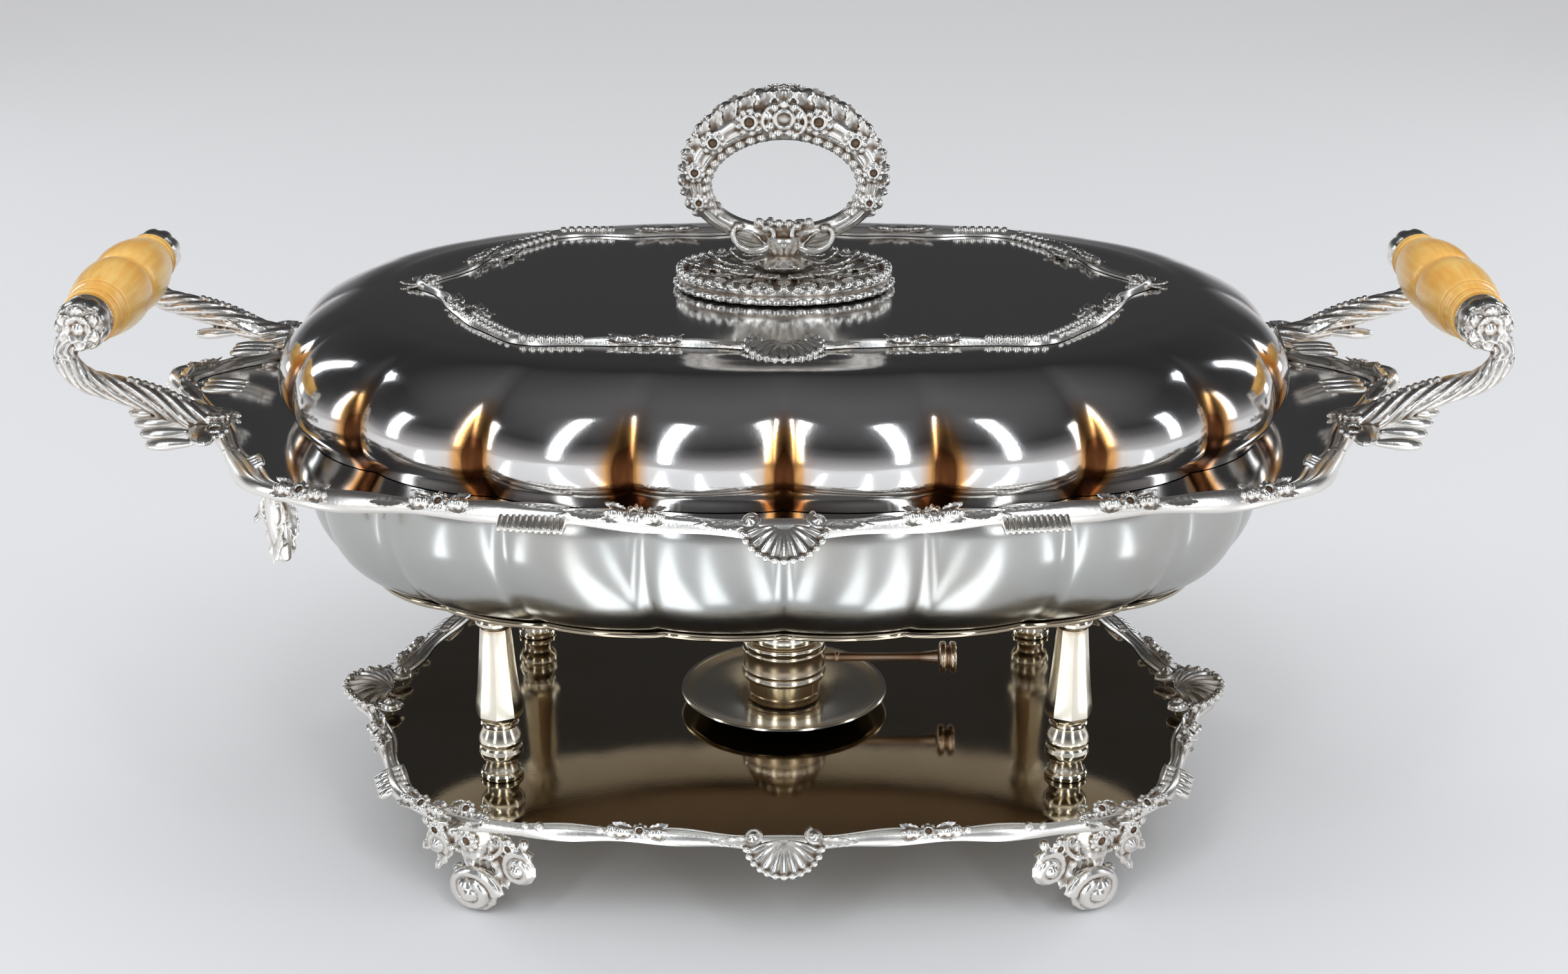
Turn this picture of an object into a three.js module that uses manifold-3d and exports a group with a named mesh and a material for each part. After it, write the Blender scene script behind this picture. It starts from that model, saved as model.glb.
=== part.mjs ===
// A silver-plated chafing dish: a footed tray with four columns and a spirit burner, a lobed water pan on the
// columns' frame, a footed food dish with two upright handles, and a lobed lid with a wreath ring on top.
// Millimetres, +Z up, +X along the dish, -Y towards the front. The origin is on the table under the centre.
import * as THREE from "three";
import { mergeVertices } from "three/addons/utils/BufferGeometryUtils.js";
import Module from "manifold-3d";

const wasm = await Module();
wasm.setup();

// Driving dimensions: heights above the table.
const TRAY_TOP = 44;
const TRAY_SHEET = 2;
const COLUMN_HEIGHT = 82;
const FRAME_SHEET = 3;
const PAN_DEPTH = 66.4;
const LID_RISE = 51;
const SEAT_GAP = 0.3;
// A cutter stands off a hair less than the seat gap, so that it leaves level undersides whole.
const CUT_GAP = 0.28;

// Driving dimensions: the ovals, as half lengths and half depths.
const OVAL_POWER = 2.4;
const LOBES = 20;
const LID_BASE = [213, 148];
const LID_TOP = [176, 110];
const PAN_MOUTH = [206.5, 143];
const PAN_FLOOR = [186, 108];
const DISH_MOUTH = [202.2, 139];
const PAN_WALL = 1.3;
const LID_WALL = 1.3;
const DISH_SHEET = 1.4;
const DISH_DEPTH = 32;

// Heights that follow from them.
const FRAME_BOTTOM = TRAY_TOP + COLUMN_HEIGHT;
const PAN_BOTTOM = FRAME_BOTTOM + FRAME_SHEET + SEAT_GAP;
const PAN_RIM = PAN_BOTTOM + PAN_DEPTH;
const FLANGE_BOTTOM = PAN_RIM + SEAT_GAP;
const FLANGE_TOP = FLANGE_BOTTOM + DISH_SHEET;
const LID_BOTTOM = FLANGE_TOP + SEAT_GAP;
const LID_CREST = LID_BOTTOM + LID_RISE;
const PLATE_TOP = LID_CREST + 8;

// Places along and across the dish, and the sizes that belong to them.
const FLANGE_TIP = 276;
const FLANGE_SWEEP = 8;
const SWEEP_START = 226;
const FRAME_OPENING = [150, 74];
const COLUMN_X = 126;
const COLUMN_Y = 77;
const TRAY_FOOT = { x: 130, y: 106, turn: -27 };
const DISH_FOOT = { x: 205, y: 108, turn: -40, height: 35 };
const HANDLE_X = 297;
const ARM_Y = 64;
const GRIP_HEIGHT = 248;
const GRIP_LENGTH = 100;
const RING_HALF_WIDTH = 39;
const RING_HALF_HEIGHT = 28;
const RING_CENTRE = 299;

// Shells on the borders: how far their hinges lie from the centre, and how large they are.
const TRAY_SHELLS = { side: { hinge: 131, radius: 21, rise: 5 }, end: { hinge: 188, radius: 24, rise: 6 } };
const DISH_SHELLS = { side: { hinge: 160, radius: 26, rise: 6 }, end: { hinge: 256, radius: 27, rise: 7 } };
const LID_SHELLS = { side: { hinge: 93, radius: 16, rise: 4.5 }, end: { hinge: 152, radius: 14, rise: 4.5 } };

// How many steps the borders take round their outlines.
const TRAY_STATIONS = 48;
const FLANGE_STATIONS = 52;
const LID_BORDER_STATIONS = 40;

// Finishes.
const SILVER = { color: 0xdcd8cf, roughness: 0.12, metalness: 1 };
const CAST_SILVER = { color: 0xcfc8bb, roughness: 0.28, metalness: 1 };
const BONE = { color: 0xe5ad55, roughness: 0.4, metalness: 0 };
const COPPER_TINT = { color: 0xc9b09a, roughness: 0.25, metalness: 1 };
const WICK = { color: 0x8c8577, roughness: 0.95, metalness: 0 };

const dish = new THREE.Group();

function add(name, geometry, finish, parent = dish) {
  const mesh = new THREE.Mesh(outward(geometry), new THREE.MeshStandardMaterial(finish));
  mesh.name = name;
  parent.add(mesh);
  return mesh;
}

// The same geometry with merged corners and its faces pointing out.
function outward(geometry) {
  const bare = geometry.clone();
  bare.deleteAttribute("normal");
  bare.deleteAttribute("uv");
  const merged = mergeVertices(bare, 1e-3);
  const p = merged.attributes.position;
  const index = merged.index.array;
  const [a, b, c] = [new THREE.Vector3(), new THREE.Vector3(), new THREE.Vector3()];
  let volume = 0;
  for (let i = 0; i < index.length; i += 3) {
    a.fromBufferAttribute(p, index[i]);
    b.fromBufferAttribute(p, index[i + 1]);
    c.fromBufferAttribute(p, index[i + 2]);
    volume += a.dot(b.cross(c));
  }
  if (volume < 0) {
    for (let i = 0; i < index.length; i += 3) {
      [index[i + 1], index[i + 2]] = [index[i + 2], index[i + 1]];
    }
  }
  merged.computeVertexNormals();
  return merged;
}

function toSolid(geometry) {
  const closed = outward(geometry);
  return new wasm.Manifold(
    new wasm.Mesh({
      numProp: 3,
      vertProperties: new Float32Array(closed.attributes.position.array),
      triVerts: new Uint32Array(closed.index.array),
    }),
  );
}

function toGeometry(solid) {
  const mesh = solid.getMesh();
  const corners = new Float32Array(mesh.numVert * 3);
  for (let i = 0; i < mesh.numVert; i++) {
    corners.set(mesh.vertProperties.subarray(i * mesh.numProp, i * mesh.numProp + 3), i * 3);
  }
  return new THREE.BufferGeometry()
    .setAttribute("position", new THREE.BufferAttribute(corners, 3))
    .setIndex(new THREE.BufferAttribute(mesh.triVerts, 1));
}

function joined(...geometries) {
  return toGeometry(geometries.map(toSolid).reduce((all, next) => all.add(next)));
}

function cut(geometry, ...cutters) {
  return toGeometry(cutters.map(toSolid).reduce((left, cutter) => left.subtract(cutter), toSolid(geometry)));
}

// Joins rings of points into one closed surface. A ring of one point is a pole. With loop, the last ring
// joins the first; without it, both ends close on a fan round their middle.
function skin(rings, loop = false) {
  const middle = (ring) => ring.reduce((sum, p) => sum.add(p), new THREE.Vector3()).divideScalar(ring.length);
  const all = [...rings];
  if (!loop && all[0].length > 1) all.unshift([middle(all[0])]);
  if (!loop && all.at(-1).length > 1) all.push([middle(all.at(-1))]);
  const corners = [];
  const starts = all.map((ring) => {
    const start = corners.length / 3;
    ring.forEach((p) => corners.push(p.x, p.y, p.z));
    return start;
  });
  const faces = [];
  const joins = loop ? all.length : all.length - 1;
  for (let k = 0; k < joins; k++) {
    const next = (k + 1) % all.length;
    const [near, far] = [all[k].length, all[next].length];
    const count = Math.max(near, far);
    for (let i = 0; i < count; i++) {
      const j = (i + 1) % count;
      const [a, b] = [starts[k] + (i % near), starts[k] + (j % near)];
      const [c, d] = [starts[next] + (i % far), starts[next] + (j % far)];
      if (near > 1) faces.push(a, b, far > 1 ? d : c);
      if (far > 1) faces.push(a, d, c);
    }
  }
  return new THREE.BufferGeometry()
    .setAttribute("position", new THREE.Float32BufferAttribute(corners, 3))
    .setIndex(faces);
}

// A turned piece: pairs of radius and height, from one end of the axis to the other, or closed on itself.
function turned(profile, segments) {
  const points = profile.map(([radius, height]) => new THREE.Vector2(radius, height));
  return new THREE.LatheGeometry(points, segments).rotateX(Math.PI / 2);
}

// Points and outward normals at equal steps along a closed plan outline, anticlockwise from its front.
function stations(outline, shares) {
  const fine = 1440;
  const points = Array.from({ length: fine + 1 }, (_, i) => outline(i / fine));
  const run = [0];
  for (let i = 1; i <= fine; i++) run.push(run[i - 1] + points[i].distanceTo(points[i - 1]));
  return shares.map((share) => {
    const wanted = share * run[fine];
    let i = 1;
    while (i < fine && run[i] < wanted) i++;
    const part = (wanted - run[i - 1]) / (run[i] - run[i - 1]);
    const at = points[i - 1].clone().lerp(points[i], part);
    const along = points[i].clone().sub(points[i - 1]).normalize();
    return { at, out: new THREE.Vector2(along.y, -along.x) };
  });
}

const evenShares = (count) => Array.from({ length: count }, (_, i) => i / count);

// Lobes meet in a crease and swell between: the stations crowd towards each crease.
const LOBE_STEPS = [0, 0.17, 0.5, 0.83];
const lobeShares = Array.from({ length: LOBES * LOBE_STEPS.length }, (_, i) => {
  const lobe = Math.floor(i / LOBE_STEPS.length);
  return (lobe + LOBE_STEPS[i % LOBE_STEPS.length]) / LOBES;
});
const lobeSwell = (share) => Math.pow(Math.sin(Math.PI * ((share * LOBES) % 1)), 0.7);

function oval(halfLength, halfDepth) {
  return (t) => {
    const angle = t * 2 * Math.PI - Math.PI / 2;
    const [c, s] = [Math.cos(angle), Math.sin(angle)];
    const bend = 2 / OVAL_POWER;
    return new THREE.Vector2(
      halfLength * Math.sign(c) * Math.pow(Math.abs(c), bend),
      halfDepth * Math.sign(s) * Math.pow(Math.abs(s), bend),
    );
  };
}

function lobedRing([halfLength, halfDepth, swell, height], shares = lobeShares) {
  return stations(oval(halfLength, halfDepth), shares).map(({ at, out }, i) => {
    const proud = swell * lobeSwell(shares[i]);
    return new THREE.Vector3(at.x + out.x * proud, at.y + out.y * proud, height);
  });
}

function ovalRing([halfLength, halfDepth, height], count) {
  return stations(oval(halfLength, halfDepth), evenShares(count)).map(
    ({ at }) => new THREE.Vector3(at.x, at.y, height),
  );
}

const pole = (height) => [new THREE.Vector3(0, 0, height)];

// A closed plan outline from the points of its front right quarter, mirrored into the other three.
function quartered(quarter) {
  const turn = [
    ...quarter,
    ...quarter.slice(0, -1).reverse().map(([x, y]) => [x, -y]),
    ...quarter.slice(1).map(([x, y]) => [-x, -y]),
    ...quarter.slice(1, -1).reverse().map(([x, y]) => [-x, y]),
  ];
  const curve = new THREE.CatmullRomCurve3(
    turn.map(([x, y]) => new THREE.Vector3(x, y, 0)),
    true,
    "centripetal",
  );
  return (t) => {
    const p = curve.getPoint(t % 1);
    return new THREE.Vector2(p.x, p.y);
  };
}

const FLANGE_EDGE = quartered([
  [0, -170],
  [36, -165],
  [74, -157],
  [112, -151],
  [152, -143],
  [190, -135],
  [214, -121],
  [228, -96],
  [243, -62],
  [262, -26],
  [276, 0],
]);
const TRAY_EDGE = quartered([
  [0, -142],
  [34, -137],
  [76, -133],
  [112, -129],
  [146, -118],
  [168, -98],
  [178, -70],
  [186, -44],
  [194, -20],
  [204, 0],
]);
const PANEL_EDGE = quartered([
  [0, -100],
  [30, -95],
  [72, -92],
  [108, -90],
  [126, -70],
  [140, -46],
  [150, -20],
  [163, 0],
]);

// Sections of the cast borders, as side and rise from the edge of the sheet that they lie on. The rims of the
// dish and the tray hang over that edge; the lid's border lies flat on its top.
const RIM_SECTION = [
  [-8, 0],
  [-6, 2.8],
  [-1.2, 3.8],
  [3, -0.4],
  [2, -3.4],
  [0.4, -3.4],
  [0.4, 0],
];
const FLAT_SECTION = [
  [-6, 0],
  [-4.6, 2.4],
  [-0.6, 3.2],
  [3, 0],
];
// A cutter that stands clear of the rim on every side.
const RIM_CLEARANCE = [
  [-8.4, -3.8],
  [-8.4, 0],
  [-7.1, 2.8],
  [-2.4, 4.2],
  [2.1, 2.9],
  [3.4, -0.6],
  [2.3, -3.8],
];

function border(outline, section, sheetTop, count) {
  const around = stations(outline, evenShares(count));
  return skin(
    section.map(([side, rise]) =>
      around.map(({ at, out }) => {
        const [x, y] = [at.x + out.x * side, at.y + out.y * side];
        return new THREE.Vector3(x, y, sheetTop(x, y) + SEAT_GAP + rise);
      }),
    ),
    true,
  );
}

// A cast shell: ribs that fan out from a hinge, each rounded and ending in a scallop. It points along -Y.
const SHELL_RIBS = 5;
const SHELL_SPREAD = 78;
const GROOVE_REACH = 0.93;
const GROOVE_LIFT = 0.62;

function shell(radius, rise) {
  const spread = THREE.MathUtils.degToRad(SHELL_SPREAD);
  const count = SHELL_RIBS * 2;
  const row = (share, height) =>
    Array.from({ length: count + 1 }, (_, i) => {
      const angle = -spread + (2 * spread * i) / count;
      const crest = i % 2;
      const reach = radius * share * (crest ? 1 : GROOVE_REACH);
      const lift = height * (crest ? 1 : GROOVE_LIFT);
      return new THREE.Vector3(reach * Math.sin(angle), -reach * Math.cos(angle), lift);
    });
  const back = 3;
  const close = (points, height) => [...points, new THREE.Vector3(0, back, height)];
  return skin([
    close(row(1, 0), 0),
    close(row(1, rise * 0.45), rise * 0.5),
    close(row(0.7, rise), rise * 0.8),
  ]);
}

function placed(geometry, x, y, z, turn = 0) {
  return geometry.clone().rotateZ(turn).translate(x, y, z);
}

// Four shells on a border, one at the middle of each side and one at each tip, all pointing outwards. The
// ones at the tips can be tilted.
function shellsAround({ side, end }, sideHeight, endHeight = sideHeight, tilt = 0) {
  const sideShell = shell(side.radius, side.rise);
  const endShell = shell(end.radius, end.rise).rotateX(-tilt);
  return [
    placed(sideShell, 0, -side.hinge, sideHeight),
    placed(sideShell, 0, side.hinge, sideHeight, Math.PI),
    placed(endShell, end.hinge, 0, endHeight, Math.PI / 2),
    placed(endShell, -end.hinge, 0, endHeight, -Math.PI / 2),
  ];
}

// A tube of changing oval section along a curve, closed at both ends. Radii are across and along the
// up direction that goes with each section.
function sweep(points, radii, steps, sides, up = new THREE.Vector3(0, 0, 1), loop = false) {
  const curve = new THREE.CatmullRomCurve3(
    points.map(([x, y, z]) => new THREE.Vector3(x, y, z)),
    loop,
    "centripetal",
  );
  const last = loop ? steps : steps + 1;
  const rings = Array.from({ length: last }, (_, k) => {
    const t = k / steps;
    const along = curve.getTangent(t);
    const side = new THREE.Vector3().crossVectors(along, up).normalize();
    const rise = new THREE.Vector3().crossVectors(side, along);
    const [across, tall] = radii(t);
    return Array.from({ length: sides }, (_, i) => {
      const angle = (2 * Math.PI * i) / sides;
      return curve
        .getPoint(t)
        .addScaledVector(side, across * Math.cos(angle))
        .addScaledVector(rise, tall * Math.sin(angle));
    });
  });
  return skin(rings, loop);
}

// Straight lines between the radii given at shares of a sweep's length.
function between(table) {
  return (t) => {
    const k = Math.max(1, table.findIndex(([share]) => share >= t));
    const [from, to] = [table[k - 1], table[k]];
    const part = (t - from[0]) / (to[0] - from[0]);
    return [1, 2].map((i) => from[i] + (to[i] - from[i]) * part);
  };
}

const CORNERS = [
  ["front_left", -1, -1],
  ["front_right", 1, -1],
  ["rear_left", -1, 1],
  ["rear_right", 1, 1],
];

// The tray: a polished sheet with a cast border, drilled for the four column studs.
const STUD = 2.4;
const STUD_HOLE = 2.9;
const BORE_SIDES = 10;

function traySheet() {
  const edge = stations(TRAY_EDGE, evenShares(TRAY_STATIONS));
  const ring = (inset, height) =>
    edge.map(({ at, out }) => new THREE.Vector3(at.x - out.x * inset, at.y - out.y * inset, height));
  const sheet = skin([
    pole(TRAY_TOP - TRAY_SHEET),
    ring(0, TRAY_TOP - TRAY_SHEET),
    ring(0, TRAY_TOP),
    pole(TRAY_TOP),
  ]);
  const reach = 5;
  const drill = turned([[0, -reach], [STUD_HOLE, -reach], [STUD_HOLE, reach], [0, reach]], BORE_SIDES);
  const holes = CORNERS.map(([, sx, sy]) => placed(drill, sx * COLUMN_X, sy * COLUMN_Y, TRAY_TOP));
  return cut(sheet, ...holes);
}

function trayBorder() {
  const flat = () => TRAY_TOP;
  return joined(
    border(TRAY_EDGE, RIM_SECTION, flat, TRAY_STATIONS),
    ...shellsAround(TRAY_SHELLS, TRAY_TOP + SEAT_GAP),
  );
}

// A casting that is one outline from the front and another from the side. The front outline is given by its
// right half, as width and height; the side outline as outward distance and height.
function casting(half, side) {
  const reach = 80;
  const mirrored = half.slice().reverse().map(([x, z]) => [-x, z]);
  const front = new THREE.Shape([...half, ...mirrored].map(([x, z]) => new THREE.Vector2(x, z)));
  const flank = new THREE.Shape(side.map(([y, z]) => new THREE.Vector2(y, z)));
  const slab = (shape) =>
    new THREE.ExtrudeGeometry(shape, { depth: reach, bevelEnabled: false })
      .rotateX(Math.PI / 2)
      .translate(0, reach / 2, 0);
  const across = toSolid(slab(front));
  return toGeometry(across.intersect(toSolid(slab(flank).rotateZ(Math.PI / 2))));
}

// A cast foot: a scroll toe under a leg, with a drooping leaf on each side that lies along the tray's corner.
function trayFoot(sx, sy) {
  const { x, y, turn } = TRAY_FOOT;
  const top = TRAY_TOP - TRAY_SHEET - SEAT_GAP;
  const foot = casting(
    [
      [7, 0],
      [10, 1.5],
      [11, 5],
      [9, 9],
      [6, 13],
      [6.5, 18],
      [10, 23.5],
      [12.5, 22],
      [14, 14.5],
      [19, 11],
      [24.5, 14],
      [26, 21],
      [24, 29],
      [28, top],
    ],
    [
      [1, 0],
      [13, 0],
      [16, 3],
      [15, 8],
      [10, 12],
      [8, 18],
      [10, 27],
      [12, 34],
      [10, top],
      [-7, top],
      [-4, 33],
      [0, 24],
      [1, 15],
      [-1, 6],
    ],
  );
  return placed(foot, x, y, 0, THREE.MathUtils.degToRad(turn)).scale(sx, sy, 1);
}

// The column: a turned foot and knop under a tapering vase, with a stud below that passes through the tray.
const COLUMN_PANELS = 8;
const COLUMN_PROFILE = [
  [0, -TRAY_SHEET - 6],
  [STUD, -TRAY_SHEET - 6],
  [STUD, SEAT_GAP],
  [9.6, SEAT_GAP],
  [9.6, 3],
  [7.4, 8.4],
  [10, 13],
  [9.8, 18],
  [8.2, 26.5],
  [10.4, 30.5],
  [9.8, 38],
  [8, 54],
  [6.8, 72],
  [8.8, 76],
  [8.8, COLUMN_HEIGHT - SEAT_GAP],
  [0, COLUMN_HEIGHT - SEAT_GAP],
];

// A hexagonal nut with a clear bore, centred on its own middle.
function nut(radius, thickness, bore) {
  const body = new THREE.CylinderGeometry(radius, radius, thickness, 6).rotateX(Math.PI / 2);
  const drill = new THREE.CylinderGeometry(bore, bore, thickness + 2, BORE_SIDES).rotateX(Math.PI / 2);
  return cut(body, drill);
}

const COLUMN_NUT = 3;
const COLUMN_NUT_HEIGHT = TRAY_TOP - TRAY_SHEET - SEAT_GAP - COLUMN_NUT / 2;

// The frame that joins the columns' tops. Its lobed edge follows the water pan, and it is open for the flame.
function standFrame() {
  const top = FRAME_BOTTOM + FRAME_SHEET;
  const [margin, swell] = [6, 3];
  const shares = evenShares(LOBES * 2);
  const outer = (height) => lobedRing([PAN_FLOOR[0] + margin, PAN_FLOOR[1] + margin, swell, height], shares);
  const inner = (height) => lobedRing([...FRAME_OPENING, 0, height], shares);
  return skin([outer(top), outer(FRAME_BOTTOM), inner(FRAME_BOTTOM), inner(top)], true);
}

// The water pan: its side swells in twenty lobes and its floor is flat.
function waterPan() {
  const side = [
    [PAN_FLOOR[0], PAN_FLOOR[1], 2.6, 0],
    [197, 120, 3.6, 4],
    [206, 134, 4.6, 17],
    [210, 144, 5, 36],
    [209, 146, 4.6, 54],
    [PAN_MOUTH[0], PAN_MOUTH[1], 3.6, PAN_DEPTH],
  ];
  const outer = side.map(([a, b, swell, h]) => lobedRing([a, b, swell, PAN_BOTTOM + h]));
  const inner = [side[5], side[3], side[2], side[1]].map(([a, b, swell, h]) =>
    lobedRing([a - PAN_WALL, b - PAN_WALL, swell, PAN_BOTTOM + Math.max(h, PAN_WALL + 1)]),
  );
  return skin([pole(PAN_BOTTOM), ...outer, ...inner, pole(PAN_BOTTOM + PAN_WALL)]);
}

// The flange is level under the lid, and sweeps up to the handles at its ends.
function flangeTop(x) {
  const share = Math.max(0, Math.abs(x) - SWEEP_START) / (FLANGE_TIP - SWEEP_START);
  return FLANGE_TOP + FLANGE_SWEEP * Math.pow(share, 1.4);
}

// The food dish: an oval well that hangs in the water pan from its wide flange. Extra sheet all round makes a
// cutter that stands clear of it.
function foodDish(extra = 0) {
  const count = FLANGE_STATIONS;
  const edge = stations(FLANGE_EDGE, evenShares(count));
  const [a, b] = DISH_MOUTH;
  const mouth = ovalRing([a - DISH_SHEET, b - DISH_SHEET, 0], count);
  const flange = (share, down) =>
    edge.map(({ at }, i) => {
      const x = THREE.MathUtils.lerp(mouth[i].x, at.x, share);
      const y = THREE.MathUtils.lerp(mouth[i].y, at.y, share);
      return new THREE.Vector3(x, y, flangeTop(x) - down);
    });
  const well = (inset, down, sheet) =>
    ovalRing([a - inset - sheet, b - inset - sheet, FLANGE_TOP - down], count);
  const floor = FLANGE_TOP - DISH_DEPTH;
  return skin([
    pole(floor + DISH_SHEET),
    well(28, DISH_DEPTH - DISH_SHEET, 1.2),
    well(13, DISH_DEPTH - 7.4, DISH_SHEET),
    flange(0, -extra),
    flange(0.34, -extra),
    flange(0.67, -extra),
    flange(1, -extra),
    flange(1, DISH_SHEET + extra),
    flange(0.67, DISH_SHEET + extra),
    flange(0.34, DISH_SHEET + extra),
    ovalRing([a, b, FLANGE_BOTTOM - extra], count),
    well(13, DISH_DEPTH - 6, 0),
    well(28, DISH_DEPTH, 0),
    pole(floor),
  ]);
}

// The dish's cast border. The shells at its ends are tilted to lie along the flange where it sweeps up.
function dishBorder() {
  const hinge = DISH_SHELLS.end.hinge;
  const tilt = Math.atan2(flangeTop(FLANGE_TIP) - flangeTop(hinge), FLANGE_TIP - hinge);
  const lift = 0.8;
  const rim = joined(
    border(FLANGE_EDGE, RIM_SECTION, flangeTop, FLANGE_STATIONS),
    ...shellsAround(DISH_SHELLS, FLANGE_TOP + SEAT_GAP, flangeTop(hinge) + lift, tilt),
  );
  return cut(rim, foodDish(CUT_GAP));
}

// A cast leaf foot under the flange's corner, on which the dish stands when it is off the water pan.
function dishFoot(sx, sy) {
  const { x, y, turn, height } = DISH_FOOT;
  const top = FLANGE_BOTTOM - SEAT_GAP;
  const foot = casting(
    [
      [5, top - height],
      [8, top - 30],
      [7.6, top - 24],
      [10.4, top - 19],
      [9, top - 13],
      [12, top - 7],
      [11.4, top],
    ],
    [
      [1, top - height],
      [7, top - height],
      [9, top - 28],
      [6.6, top - 18],
      [9, top],
      [-3, top],
      [1.6, top - 17],
    ],
  );
  return placed(foot, x, y, 0, THREE.MathUtils.degToRad(turn)).scale(sx, sy, 1);
}

// A handle arm: it grips the flange's edge, runs out nearly level, and turns up at an elbow into the side of a
// round boss, which holds one end of the grip.
const ARM_STEPS = 10;
const ARM_SIDES = 7;
const BOSS_RADIUS = 11;
const BOSS_DEPTH = 19;

function handleArm(sx, sy) {
  const inner = GRIP_LENGTH / 2 + 0.6;
  const arm = sweep(
    [
      [238, ARM_Y - 1, 204],
      [252, ARM_Y, 208],
      [268, ARM_Y, 215.5],
      [285, ARM_Y, 221],
      [297, ARM_Y, 225],
      [304, ARM_Y, 233],
      [304, ARM_Y - 2, 242],
    ],
    between([
      [0, 9, 7],
      [0.3, 7.5, 6.5],
      [0.6, 5.6, 5.6],
      [0.85, 5.4, 5.4],
      [1, 4.2, 4.2],
    ]),
    ARM_STEPS,
    ARM_SIDES,
  );
  const boss = turned(
    [
      [0, inner],
      [BOSS_RADIUS - 2, inner],
      [BOSS_RADIUS, inner + 2.4],
      [BOSS_RADIUS, inner + 12],
      [BOSS_RADIUS - 4, inner + BOSS_DEPTH - 2],
      [0, inner + BOSS_DEPTH],
    ],
    10,
  )
    .rotateX(-Math.PI / 2)
    .translate(HANDLE_X, 0, GRIP_HEIGHT);
  return joined(arm, boss).scale(sx, sy, 1);
}

// The turned grip: two swellings with a groove between them, drilled along its axis for the rod.
const ROD = 2.6;
const GRIP_HALF_PROFILE = [
  [14.2, 0],
  [15.8, 7],
  [16.2, 16],
  [15.2, 27],
  [13, 38],
  [11.6, 44],
  [12, GRIP_LENGTH / 2 - 0.2],
];

function grip(sx) {
  const half = GRIP_HALF_PROFILE;
  const profile = [
    ...half.slice(1).reverse().map(([r, y]) => [r, -y]),
    ...half,
    [ROD + 0.3, half.at(-1)[1]],
    [ROD + 0.3, -half.at(-1)[1]],
  ];
  return turned([...profile, profile[0]], 12)
    .rotateX(-Math.PI / 2)
    .translate(sx * HANDLE_X, 0, GRIP_HEIGHT);
}

function gripRod(sx) {
  const length = GRIP_LENGTH + 0.4;
  return new THREE.CylinderGeometry(ROD, ROD, length, BORE_SIDES).translate(sx * HANDLE_X, 0, GRIP_HEIGHT);
}

// The lid: a flat polished top, and a side that swells in lobes to match the pan.
const FINIAL_BOLT = 2.5;

function lidShell() {
  const side = [
    [LID_BASE[0], LID_BASE[1], 3.6, 0],
    [219, 154, 5, 12],
    [218, 153, 5, 26],
    [210, 145, 3.8, 39],
    [194, 128, 1.2, 48.6],
    [LID_TOP[0], LID_TOP[1], 0, LID_RISE],
  ];
  const outer = side.map(([a, b, swell, h]) => lobedRing([a, b, swell, LID_BOTTOM + h]));
  const wallDirection = [
    [1, 0],
    [1, 0],
    [1, 0.1],
    [0.8, 0.6],
    [0.4, 0.95],
    [0, 1],
  ];
  const inner = side.map(([a, b, swell, h], i) => {
    const [sideways, down] = wallDirection[i].map((part) => part * LID_WALL);
    return lobedRing([a - sideways, b - sideways, swell, LID_BOTTOM + h - down]);
  });
  const dome = skin([pole(LID_CREST), ...outer.reverse(), ...inner, pole(LID_CREST - LID_WALL)]);
  return cut(dome, placed(boltDrill(4), 0, 0, LID_CREST));
}

function boltDrill(reach) {
  const radius = FINIAL_BOLT + 0.4;
  return turned([[0, -reach], [radius, -reach], [radius, reach], [0, reach]], BORE_SIDES);
}

function lidBorder() {
  const flat = () => LID_CREST;
  return joined(
    border(PANEL_EDGE, FLAT_SECTION, flat, LID_BORDER_STATIONS),
    ...shellsAround(LID_SHELLS, LID_CREST + SEAT_GAP),
  );
}

// The finial's oval plate: a scalloped foot, a smooth standing rim, and a boss under the ring.
const PLATE_SCALLOPS = 16;

function finialPlate() {
  const row = (a, b, height, scallop) =>
    ovalRing([a, b, height], PLATE_SCALLOPS * 2).map((p, i) =>
      new THREE.Vector3(p.x, p.y, 0).multiplyScalar(i % 2 ? 1 : 1 - scallop).setZ(height),
    );
  const z = LID_CREST + SEAT_GAP;
  const plate = skin([
    pole(z),
    row(34, 26, z, 0),
    row(48, 37, z + 2, 0.02),
    row(50, 39, z + 3.4, 0.035),
    row(47.6, 36.6, z + 4, 0.005),
    row(49, 38, z + 7, 0.005),
    row(46.6, 35.6, z + 7, 0.005),
    row(44, 33.5, z + 5.2, 0),
    row(12, 10, PLATE_TOP, 0),
    pole(PLATE_TOP),
  ]);
  return cut(plate, placed(boltDrill(10), 0, 0, PLATE_TOP));
}

// The wreath ring: an oval of bound leaves, thin at the foot and heavy at the crest, on a short leafy neck.
// Both its ends are lifted a little, so that its foot is flatter than its crest.
const WREATH_LEAVES = 11;
const WREATH_STEPS = 44;
const WREATH_SIDES = 6;
const NECK_SIDES = 10;

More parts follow.
